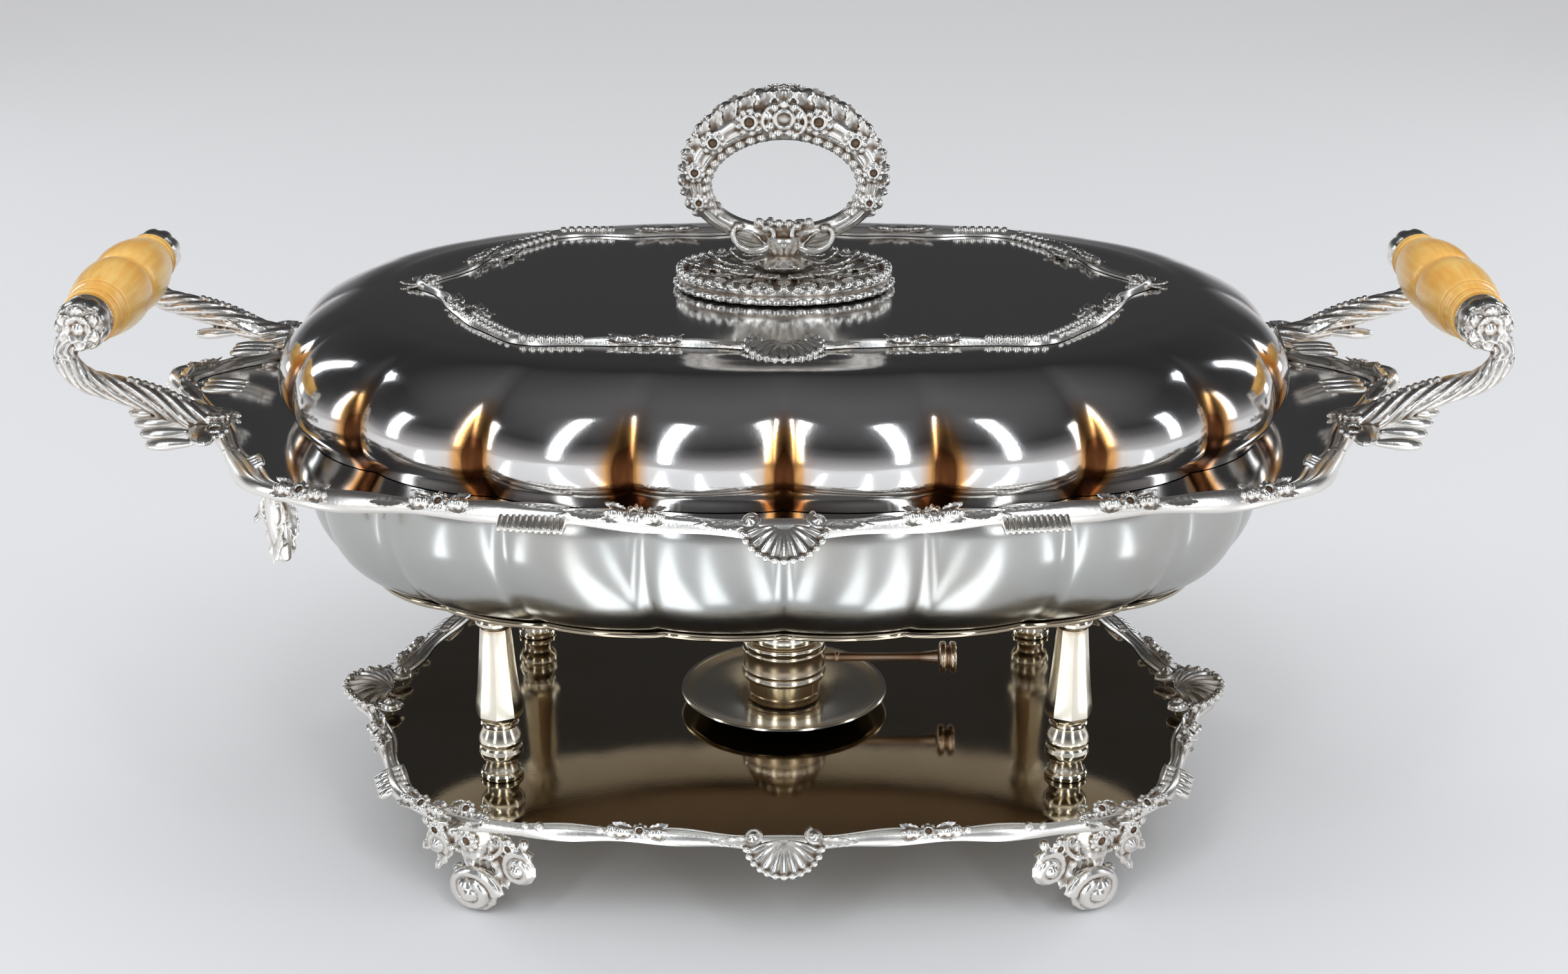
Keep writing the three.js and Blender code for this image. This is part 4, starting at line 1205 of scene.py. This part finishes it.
# %% The lid's border
LID_ROWS = [
    (LOW_SHELL, "share", 0, (0, 3, -0.4), 1),
    (SPRAY, "share", 0.25, (0, 3, 0), 0.7),
    (LOW_CLUSTER, "x", 57, (0, 0, -0.4), (1.3, 1, 1)),
    *[(BEAD, "x", x, (0, 0, 2.4), 2.1) for x in np.linspace(84, 107, 7)],
    *[(BEAD, "y", y, (0, 4.6, 1.6), 1.6) for y in np.linspace(-86, -54, 10)],
    *[(BEAD, "y", y, (0, -0.6, 2.4), 1.3) for y in np.linspace(-86, -54, 10)],
    (LOW_CLUSTER, "y", -40, (0, 2, 0), 0.95),
    (LOW_CLUSTER, "y", -52, (0, 9, -1), 0.8),
]
border(
    "lid_rim", "lid", "lid_border", PANEL_EDGE, flat_top(LID_CREST), section=FLAT_SECTION, count=480,
    rows=LID_ROWS,
)

# %% [markdown]
# ## The stand
#
# The stand's frame is a flat ring with the pan's own lobes, softly rounded at its edges. The four columns are
# turned, but their vases are cut into eight flat panels, so each column is lofted from rings that change from
# round to eight-sided and back.

# %% Stand frame
FRAME_BOTTOM = bottom_of("stand_frame")
FRAME_OUTER, FRAME_INNER = (192, 114), (150, 74)
EDGE_ROUND = ((-1.6, 0.0), (-0.5, 0.25), (0.0, 0.9), (0.0, 2.1), (-0.5, 2.75), (-1.6, 3.0))

frame_rings = [
    lobed(FRAME_OUTER[0] + side, FRAME_OUTER[1] + side, 3, FRAME_BOTTOM + rise) for side, rise in EDGE_ROUND
]
frame_rings += [
    lobed(FRAME_INNER[0] - side, FRAME_INNER[1] - side, 0, FRAME_BOTTOM + rise) for side, rise in EDGE_ROUND[::-1]
]
stand_ring = loft(frame_rings, loop=True)
settle("stand_ring", [stand_ring], "stand", silver_tray_painted_reflection, "stand_frame")

# %% Columns: radius, height and how far the ring is eight-sided
CORNERS = {"front_left": (-1, -1), "front_right": (1, -1), "rear_left": (-1, 1), "rear_right": (1, 1)}
COLUMN_X, COLUMN_Y = 126, 77
COLUMN = [
    (2.4, -8, 0), (2.4, 0.2, 0), (9.2, 0.3, 0), (9.6, 1.0, 0), (9.6, 2.2, 0), (8.9, 3.1, 0), (8.0, 3.5, 0),
    (7.7, 4.6, 0), (7.1, 6.6, 0), (7.2, 8.0, 0), (8.6, 9.4, 0), (9.7, 11.2, 0), (10.0, 13.0, 0), (9.5, 14.8, 0),
    (8.8, 15.7, 0), (9.4, 16.6, 0), (9.9, 18.2, 0), (9.6, 20.0, 0), (8.7, 22.0, 0), (7.8, 23.8, 0), (7.5, 24.8, 0),
    (8.3, 25.4, 0), (8.5, 26.2, 0), (7.9, 27.0, 0), (8.4, 28.2, 0.5), (9.7, 29.6, 1), (10.5, 31.2, 1),
    (10.4, 33.4, 1), (9.9, 38, 1), (9.1, 45, 1), (8.3, 53, 1), (7.6, 62, 1), (7.0, 70, 1), (6.8, 72.2, 0.4),
    (7.5, 73.2, 0), (8.6, 74.6, 0), (8.8, 76.0, 0), (8.1, 77.3, 0), (8.1, 78.8, 0), (8.8, 79.8, 0), (8.8, 81.7, 0),
]
COLUMN_POINTS = 64
PANELS = 8
PANEL_DEPTH = 0.8


def column_ring(radius, height, panelled):
    angle = even(COLUMN_POINTS) * math.tau
    half = math.pi / PANELS
    flat = math.cos(half) / np.cos(np.mod(angle, 2 * half) - half)
    reach = radius * (1 - panelled + panelled * flat)
    return level(np.column_stack([reach * np.cos(angle), reach * np.sin(angle)]), height)


column_shape = loft([column_ring(radius, height, PANEL_DEPTH * panelled) for radius, height, panelled in COLUMN])
mark_hollows(column_shape, passes=3, full=0.8)
for corner, (sx, sy) in CORNERS.items():
    column = copy(column_shape, (sx * COLUMN_X, sy * COLUMN_Y, TRAY_TOP))
    settle(f"pillar_{corner}", [column], "stand", silver_warm, f"column_{corner}", crease=22)

# %% [markdown]
# ## Feet
#
# Each tray foot is one casting: a scroll toe, a short leg, and leaves that spread under the tray's corner. The
# motifs are posed by where they grow and which way they face, and melted together. The dish has smaller feet
# of its own under the flange, a leaf that hangs from a flower.

# %% Tray foot, drawn with its outward side towards +Y
FOOT_TOP = TRAY_TOP - 2.3
FOOT_PLACE = (131, 108, -27)
FRONT = Vector((0, 1, 0.1))


def trimmed(mesh, low, high):
    """Flattens what a casting has below one height and above another."""
    place = corners(mesh)
    place[:, 2] = np.clip(place[:, 2], low, high)
    set_corners(mesh, place)
    return mesh


def foot_shape():
    path = spline([(0, 1, FOOT_TOP - 2), (0, 4, 31), (0, 5, 24), (0, 4, 17), (0, 6, 11)], 5)
    radii = np.interp(np.linspace(0, 1, len(path)), [0, 0.35, 0.75, 1], [11, 8, 6, 6.4])
    parts = [
        rod(path, radii, 14),
        posed(VOLUTE, (15.5, 13.2, 14), (-2, 12, 10.4), DOWN, OUT),
        posed(VOLUTE, (12, 10.4, 9), (0, 2, 10.4), DOWN, BACK),
        copy(BEAD, (0, 6, 10.6), size=(11, 5, 9.6)),
        copy(BEAD, (0, 14.5, 12.6), size=4.6),
        posed(LEAF, (19, 19, 7), (0, 9.5, 38), (0, 0.06, -1), FRONT),
        posed(ROSETTE, (5.6, 5.6, 6), (0, 11.5, 34), DOWN, FRONT),
        copy(BEAD, (0, 1, FOOT_TOP - 2), size=(25, 8, 2)),
        posed(VOLUTE, 10.5, (-23.5, 8, 24), (-1, 0, -1), OUT),
        posed(VOLUTE, 7, (18.5, 8.5, 26), (1, 0, -1), OUT),
    ]
    for sx in (-1, 1):
        parts += [
            posed(LEAF, (15, 25, 8), (sx * 8.5, 7.5, 34), (sx * 0.5, 0.05, -1), (sx * 0.2, 1, 0.1)),
            posed(LEAF, (17, 23, 9), (sx * 12, 6, 38), (sx * 0.75, 0.1, -0.9), (0, 1, 0.3)),
            posed(C_SCROLL, (17, 15, 18), (sx * 11, 8, 27), (sx * 0.6, 0, -1), OUT),
            posed(ROSETTE, (4.6, 4.6, 5), (sx * 19, 8.5, 33), DOWN, FRONT),
            copy(BEAD, (sx * 7.5, 9.5, 17), size=2.6),
            copy(BEAD, (sx * 10, 10.5, 27), size=2),
            copy(BEAD, (sx * 25, 6.5, 35), size=2.6),
        ]
    return trimmed(cast(parts, grain=0.5), 0, FOOT_TOP)


def at_corner(sx, sy, x, y, degrees):
    turn = Matrix.Rotation(math.radians(degrees), 4, "Z")
    return Matrix.Diagonal((sx, sy, 1, 1)) @ Matrix.Translation((x, y, 0)) @ turn


FOOT = foot_shape()
for corner, (sx, sy) in CORNERS.items():
    foot = copy(FOOT, seat=at_corner(sx, sy, *FOOT_PLACE))
    settle(f"leaf_foot_{corner}", [foot], "stand", silver_cast, f"tray_foot_{corner}")

# %% Dish foot: a leaf that hangs from a flower under the flange
DROP_TOP = FLANGE_TOP - SHEET - 0.3
DROP = 35
DROP_PLACE = (205, 108, -40)


def drop_shape():
    axis = spline([(0, 3, 0), (0, 5, -12), (0, 4.5, -24), (0, 4, -33)], 5)
    parts = [
        rod(axis, np.linspace(6.5, 3.2, 16), 12),
        posed(LEAF, (24, 36, 9), (0, 6.5, -2), DOWN, OUT),
        posed(LEAF, (20, 34, 9), (0, 2, -2), DOWN, BACK),
        posed(FLOWER, 5.5, (0, 7.5, -6), DOWN, OUT),
    ]
    for sx in (-1, 1):
        parts += [
            posed(LEAF, (14, 22, 8), (sx * 4, 5, -3), (sx * 0.5, 0, -1), (sx * 0.6, 1, 0)),
            posed(C_SCROLL, (12, 12, 14), (sx * 6.5, 7, -14), (sx, 0, -0.4), OUT),
            copy(BEAD, (sx * 3.2, 6.4, -25), size=1.8),
        ]
    parts.append(copy(BEAD, (0, 4, -32.5), size=(3.4, 3.2, 2.6)))
    parts.append(copy(BEAD, (0, 3, -1), size=(11, 6, 1.2)))
    return trimmed(cast(parts, grain=0.45), -DROP, 0)


DROP_SHAPE = drop_shape()
for corner in ("front_left", "rear_left", "rear_right"):
    foot = copy(DROP_SHAPE, (0, 0, DROP_TOP), seat=at_corner(*CORNERS[corner], *DROP_PLACE))
    settle(f"hanging_leaf_{corner}", [foot], "food_dish", silver_cast, f"dish_foot_{corner}")

# %% [markdown]
# ## Handles
#
# A handle arm grows out of the flange as a reeded horn, beaded along its back, and ends in a round cap with
# petals on it. A comb of gadroons and two leaves cover the joint. The arm is made once for the right front
# and mirrored. The bone grip is turned on the lathe and lies between the two caps.

# %% Handle arm
HANDLE_X, GRIP_HEIGHT = 297, 248
ARM_PATH = [
    (238, 63, 204), (252, 64, 208), (268, 64, 215.5), (285, 64, 221), (297, 64, 225), (304, 64, 233),
    (303.5, 62, 243),
]
ARM_ACROSS = [8.4, 7, 5.3, 5.1, 4.6]
ARM_TALL = [6.4, 6, 5.3, 5.1, 4.6]
ARM_SHARES = [0, 0.3, 0.6, 0.85, 1]
REEDS = 9
REED_TWIST = 34
BOSS = [
    (0, 50.6), (9.4, 50.6), (10.8, 51.2), (11, 52.2), (10.2, 53.4), (9.7, 54.2), (10.4, 55.2), (11, 57), (11, 61),
    (10.2, 63.2), (8, 65), (4, 66), (0, 66.2),
]


def horn():
    path = spline(ARM_PATH, 12)
    shares = np.linspace(0, 1, len(path))
    along = np.gradient(path, axis=0)
    along /= np.linalg.norm(along, axis=1)[:, None]
    side = np.cross(along, UP)
    side /= np.linalg.norm(side, axis=1)[:, None]
    rise = np.cross(side, along)
    angle = even(90) * math.tau
    rings = []
    for k, share in enumerate(shares):
        reed = 0.84 + 0.22 * np.abs(np.cos(REEDS * angle / 2 + REED_TWIST * share))
        across = np.interp(share, ARM_SHARES, ARM_ACROSS) * reed * np.cos(angle)
        tall = np.interp(share, ARM_SHARES, ARM_TALL) * reed * np.sin(angle)
        rings.append(path[k] + np.outer(across, side[k]) + np.outer(tall, rise[k]))
    beads = [copy(BEAD, path[k] + rise[k] * 5.6, size=1.7) for k in range(16, 34, 2)]
    return [loft(rings), *beads]


def arm_shape():
    centre = Vector((HANDLE_X, 0, GRIP_HEIGHT))
    parts = horn()
    parts.append(copy(lathe(BOSS, 40), centre, (-90, 0, 0)))
    parts.append(posed(FLOWER, (10.4, 10.4, 9), centre + Vector((0, 64.5, 0)), UP, OUT))
    for turn in even(9) * math.tau:
        out = Vector((math.cos(turn), 0, math.sin(turn)))
        parts.append(posed(BEAD, (3.5, 6.2, 1.7), centre + out * 9.8 + Vector((0, 59.5, 0)), BACK, out))
    for i in range(4):
        at = (260 - i * 4.6, 59 + i * 9, 209.5 - i * 1.8)
        parts.append(posed(GADROON, (25, 22, 17), at, (1, 0, -0.05), UP))
    parts += [
        copy(BEAD, (246, 79, 205), (0, 0, 20), (6, 13, 3)),
        posed(ROSETTE, (6.5, 6.5, 7), (240, 79, 206), (1, 0, 0), (-0.3, 0.2, 1)),
        posed(ROSETTE, (5.5, 5.5, 6), (242, 66, 209), (1, 0, 0), (-0.3, 0, 1)),
    ]
    for sy in (-1, 1):
        parts.append(posed(LEAF, (11, 15, 5), (246, 66, 209), (-1, sy * 0.9, -0.25), UP))
        parts.append(posed(LEAF, (10, 18, 3), (246, 62 + sy * 4, 209), (0.9, sy * 0.05, 0.32), (-0.3, sy, 0.6)))
    return cast(parts, grain=0.45)


SIDES = (("left", -1), ("right", 1))
ARM = arm_shape()
for side, sx in SIDES:
    for end, sy in (("front", -1), ("rear", 1)):
        arm = copy(ARM, seat=Matrix.Diagonal((sx, sy, 1, 1)))
        node_name = f"{side}_handle_arm_{end}"
        settle(f"horn_{side}_{end}", [arm], "food_dish", silver_cast, node_name)

# %% Bone grips: two long swellings, with a groove between them and a thin rim at each end
GRIP_HALF_PROFILE = [
    (13.3, 0), (13.4, 0.7), (14.2, 1.3), (14.6, 2.2), (15.3, 4.6), (15.9, 8), (16.1, 12), (16.15, 16), (15.9, 21),
    (15.3, 26.5), (14.5, 31.5), (13.7, 35.8), (13.5, 36.8), (12.9, 37.3), (13.1, 38.1), (12.9, 39.2), (12.4, 40),
    (12.0, 42), (11.6, 43.6), (11.2, 44.3), (11.6, 45), (12.0, 46), (11.7, 47.2), (11.3, 47.8), (11.9, 48.5),
    (12.0, 49.2), (11.5, 49.8),
]
ROD_HOLE = 2.9

grip_end = GRIP_HALF_PROFILE[-1][1]
whole = [(r, -y) for r, y in GRIP_HALF_PROFILE[:0:-1]] + GRIP_HALF_PROFILE
whole += [(ROD_HOLE, grip_end), (ROD_HOLE, -grip_end), whole[0]]
grip_shape = lathe(whole, 64)
mark_hollows(grip_shape, passes=3, full=0.6)
for side, sx in SIDES:
    grip = copy(grip_shape, (sx * HANDLE_X, 0, GRIP_HEIGHT), (90, 0, 0))
    settle(f"bone_{side}", [grip], "food_dish", grip_bone, f"{side}_grip", crease=50)

# %% [markdown]
# ## The finial
#
# A wreath ring stands on an oval plate. The ring's lower third is two smooth reeded horns that meet in a calyx
# of leaves. Above, leaves and flowers cover it, heaviest at the crest, round one open rosette.

# %% Finial plate: half length, half depth, height above the lid and depth of scallop
PLATE = [
    (30, 22, 0.3, 0), (46, 35, 0.4, 0), (49.0, 38.0, 1.0, 0.03), (50.0, 39.0, 2.2, 0.045),
    (49.4, 38.4, 3.2, 0.035), (47.8, 36.8, 3.8, 0.01), (47.2, 36.2, 4.6, 0), (47.8, 36.8, 5.8, 0),
    (48.6, 37.6, 6.8, 0.01), (48.4, 37.4, 7.6, 0.012), (47.4, 36.4, 7.9, 0.012), (46.0, 35.0, 7.0, 0.01),
    (44, 33.5, 6.0, 0), (30, 23, 6.4, 0), (18, 14, 7.2, 0),
]
PLATE_SCALLOPS = 44
PLATE_POINTS = PLATE_SCALLOPS * 8
PLATE_SQUASH = 0.78


def plate_ring(half_length, half_depth, rise, scallop):
    wave = 1 - scallop * (1 - np.abs(np.sin(np.pi * PLATE_SCALLOPS * even(PLATE_POINTS))))
    ring = round_ring(1, LID_CREST + rise, PLATE_POINTS)
    return ring * np.column_stack([half_length * wave, half_depth * wave, np.ones(PLATE_POINTS)])


def on_plate(shape, count, reach, rise, size, shift=0.0):
    """Copies of a motif round the plate's top, growing outwards."""
    copies = []
    for turn in (even(count) + shift / count) * math.tau:
        out = Vector((math.cos(turn), PLATE_SQUASH * math.sin(turn), 0))
        copies.append(posed(shape, size, out * reach + Vector((0, 0, LID_CREST + rise)), out, UP))
    return copies


plate_parts = [loft([plate_ring(*row) for row in PLATE])]
plate_parts += on_plate(LEAF, 12, 13, 7.4, (14, 21, 12), 0.5)
plate_parts += on_plate(LEAF, 12, 24, 7, (11, 19, 9))
plate_parts += on_plate(ROSETTE, 12, 41, 7.6, (4, 4, 4.4), 0.5)
plate_parts += on_plate(BEAD, 12, 34, 7.4, 1.9)
plate_parts += on_plate(BEAD, 48, 46.6, 8.2, (1.7, 1.9, 1.7))
settle("crest_plate", [cast(plate_parts, 0.5, keep=0.55)], "lid", silver_cast, "finial_plate")

# %% The ring's path and thickness
RING_WIDTH, RING_RISE, RING_CENTRE = 38.5, 27, 296.5


def ring_at(turn):
    """Point, outward direction and half thicknesses, for a turn of 0 at the foot to 0.5 at the crest."""
    angle = turn * math.tau - math.pi / 2
    out = Vector((math.cos(angle), 0, math.sin(angle)))
    at = Vector((RING_WIDTH * out.x, 0, RING_CENTRE + RING_RISE * out.z + 2 * out.z ** 2))
    crest = 0.5 - 0.5 * math.cos(turn * math.tau)
    return at, out, 4.4 + 5.8 * crest ** 2.2, 4.2 + 6.4 * crest ** 1.8


def hoop():
    angle = even(64) * math.tau
    reed = 1 + 0.09 * np.abs(np.cos(5 * angle))
    rings = []
    for turn in even(96):
        at, out, deep, wide = ring_at(turn)
        across = np.outer(deep * reed * np.cos(angle), out)
        rings.append(np.array(at) + across + np.outer(wide * reed * np.sin(angle), OUT))
    return loft(rings, loop=True)

# %% The wreath: pairs of leaves, open rosettes and berries up both sides of the ring
def wreath_side(sx, k, turn):
    at, out, deep, wide = ring_at(turn if sx > 0 else 1 - turn)
    grow = Vector((0, 1, 0)).cross(out) * -sx
    size = 9 + 0.6 * k
    parts = []
    for sy in (-1, 1):
        face = Vector((0, sy, 0))
        for lean in (-0.5, 0.5):
            spot = at + face * wide * 0.72 + out * deep * lean
            away = grow + out * lean * 0.4
            parts.append(posed(LEAF, (size, size * 1.15, size * 0.4), spot, away, face + out * lean))
        if k % 3 == 1:
            parts.append(posed(ROSETTE, size * 0.42, at + face * wide * 0.95 + out * 1.2, grow, face))
        parts.append(copy(BEAD, at + face * wide * 0.7 - out * deep * 0.75 - grow * 3, size=2))
    parts.append(copy(BEAD, at + out * deep * 0.95, size=(3.4, wide * 0.5, 1.8 + 1.2 * (k % 2))))
    parts.append(copy(BEAD, at - out * deep * 0.9 - grow * 1.5, size=2.1))
    return parts


def wreath_crest(sy):
    """The open rosette at the crest on one face, between two scrolls and under a row of berries."""
    at, _, deep, wide = ring_at(0.5)
    eye = at + Vector((0, sy * wide, 0.5))
    parts = [posed(ROSETTE, (8.6, 8.2, 9), eye, DOWN, (0, sy, 0))]
    for sx in (-1, 1):
        parts.append(posed(C_SCROLL, (12, 11, 18), eye + Vector((sx * 9, 0, 1)), (sx, 0, 0.3), (0, sy, 0)))
        parts.append(copy(BEAD, eye + Vector((sx * 4.5, 0, -7.5)), size=2.2))
    parts.append(posed(ROSETTE, (3.8, 3.8, 5), (0, sy * 2, 334.8), DOWN, (0, sy, 0)))
    for lean in np.arange(-3, 4) / 3:
        spot = at + Vector((lean * 17, sy * wide * 0.45, deep - 1.4 - 5 * lean * lean))
        parts.append(copy(BEAD, spot, size=(2.8, 3.2, 2.6)))
    return parts


ring_parts = [hoop()]
for sx in (-1, 1):
    for k, turn in enumerate(np.linspace(0.17, 0.465, 12)):
        ring_parts += wreath_side(sx, k, turn)
for sy in (-1, 1):
    ring_parts += wreath_crest(sy)
print("the ring has", len(ring_parts), "parts")

# %% Calyx: the leafy neck, and the beads in the ring's foot
NECK = [(0, 0), (10, 0), (12.5, 2.5), (10, 5), (7, 7), (8, 9.5), (10, 12), (9, 15), (0, 15)]


def calyx_parts():
    foot = LID_CREST + 8.3
    up = Vector(UP)
    parts = [copy(lathe(NECK, 32), (0, 0, foot))]
    for turn in (even(8) + 1 / 16) * math.tau:
        out = Vector((math.cos(turn), math.sin(turn), 0))
        parts.append(posed(LEAF, (11, 15, 8), out * 6 + up * (foot + 6.5), up + out * 0.55, out - up * 0.3))
        parts.append(posed(LEAF, (12, 14, 7), out * 7.5 + up * (foot + 6), out - up * 0.35, up + out * 0.3))
    for sx in (-1, 1):
        for sy in (-1, 1):
            parts.append(posed(C_SCROLL, (18, 18, 20), (sx * 13, sy * 5, foot + 9), DOWN, (0, sy, 0)))
    for step in np.arange(6) - 2.5:
        parts.append(copy(BEAD, (step * 4.4, -1.5, RING_CENTRE - RING_RISE + 7.4 + 0.12 * step ** 2), size=2.3))
    return parts


wreath = cast(ring_parts + calyx_parts(), 0.5, keep=0.55)
settle("wreath", [wreath], "lid", silver_cast, "finial_ring")

# %% [markdown]
# ## The burner
#
# The spirit burner stands in a drip saucer. Every part of it is turned, so a profile and the lathe give the
# fine fillets that catch the light. A copper-coloured lever turns the sleeve, which sets the flame.

# %% Burner profiles
SAUCER = [
    (0, 0), (20, 0), (22.5, 0.3), (26, 1.4), (34, 2.8), (42, 4.4), (46.6, 5.4), (48.4, 5.9), (49, 6.6),
    (48.6, 7.3), (47.8, 7.5), (46.8, 7.2), (45.6, 6.7), (40, 6), (32, 4.5), (25, 3), (21.5, 1.9), (20, 1.6),
    (0, 1.6),
]
FONT = [
    (0, 2.2), (15.9, 2.2), (17.0, 2.9), (17.4, 4.2), (17.4, 6.2), (16.6, 6.8), (17.4, 7.4), (17.4, 33),
    (16.8, 33.7), (17.4, 34.4), (17.4, 36), (16.9, 38), (15.8, 39.6), (13.4, 41.0), (12.2, 42), (12.0, 43),
    (12.5, 43.6), (12.0, 44.2), (12.0, 46.4), (11.4, 47), (10.2, 47), (10.2, 34), (0, 34),
]
SLEEVE = [
    (17.75, 14), (19.3, 14), (19.9, 14.8), (19.9, 16.2), (19.3, 17), (19.3, 18.6), (19.6, 19), (19.3, 19.4),
    (19.3, 27.6), (19.6, 28), (19.3, 28.4), (19.3, 30), (19.9, 30.8), (19.9, 32.2), (19.3, 33), (17.75, 33),
    (17.75, 14),
]
WICK = [(0, 34.4), (9.6, 34.4), (9.6, 46.2), (9.0, 47.2), (6, 48), (3, 48.3), (0, 48.4)]
LEVER = [
    (0, 19.7), (2.1, 19.7), (2.1, 24), (2.7, 24.6), (2.7, 25.8), (2.1, 26.4), (1.9, 45), (2.1, 64), (2.8, 69),
    (3.4, 73), (0, 73.4),
]
KNOB = [
    (0, 73.7), (6.2, 73.7), (7.2, 74.3), (7.6, 75.2), (7.6, 76.2), (7.0, 77), (5.6, 77.4), (5.4, 77.9),
    (5.6, 78.4), (7.0, 78.8), (7.6, 79.5), (7.5, 81), (6.8, 81.8), (4.4, 82), (3.6, 81.4), (0, 81.3),
]

# %% Burner: upright parts on the burner's axis, and the lever and its knob laid along +X
SAUCER_GAP = 0.3
LEVER_HEIGHT = 22
POLISHED, COTTON, BRASS = ("silver_polished", silver_warm), ("wick_cotton", wick_cotton), ("brass_worn", brass_worn)

for name, body, profile, segments, lift, tilt, (slot, finish), node_name in (
    ("drip_saucer", "burner", SAUCER, 96, SAUCER_GAP, 0, POLISHED, "burner_saucer"),
    ("font", "burner", FONT, 96, 0, 0, POLISHED, "burner_font"),
    ("sleeve", "regulator", SLEEVE, 96, 0, 0, POLISHED, "regulator_sleeve"),
    ("wick", "burner", WICK, 96, 0, 0, COTTON, "burner_wick"),
    ("lever", "regulator", LEVER, 48, LEVER_HEIGHT, 90, BRASS, "regulator_lever"),
    ("knob", "regulator", KNOB, 48, LEVER_HEIGHT, 90, BRASS, "regulator_knob"),
):
    turned = copy(lathe(profile, segments), (0, 0, TRAY_TOP + lift), (0, tilt, 0))
    mark_hollows(turned, passes=2, full=0.5)
    settle(name, [turned], body, finish, node_name)

# %% [markdown]
# ## Pieces that stay as they are
#
# The flat tray, the nuts, the bolt and the grip rods already have their true shape, so they only get a finish.

# %% Finishes for the pieces that stay
STAY = {"tray_plate": silver_tray_painted_reflection, "finial_bolt": silver_cast, "finial_nut": silver_cast}
STAY.update({f"column_nut_{corner}": silver_cast for corner in CORNERS})
STAY.update({f"{side}_grip_rod": silver_cast for side, _ in SIDES})
for name, finish in STAY.items():
    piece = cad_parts[name]
    piece.data.materials.clear()
    piece.data.materials.append(finish)
print("finished as they are:", sorted(STAY))
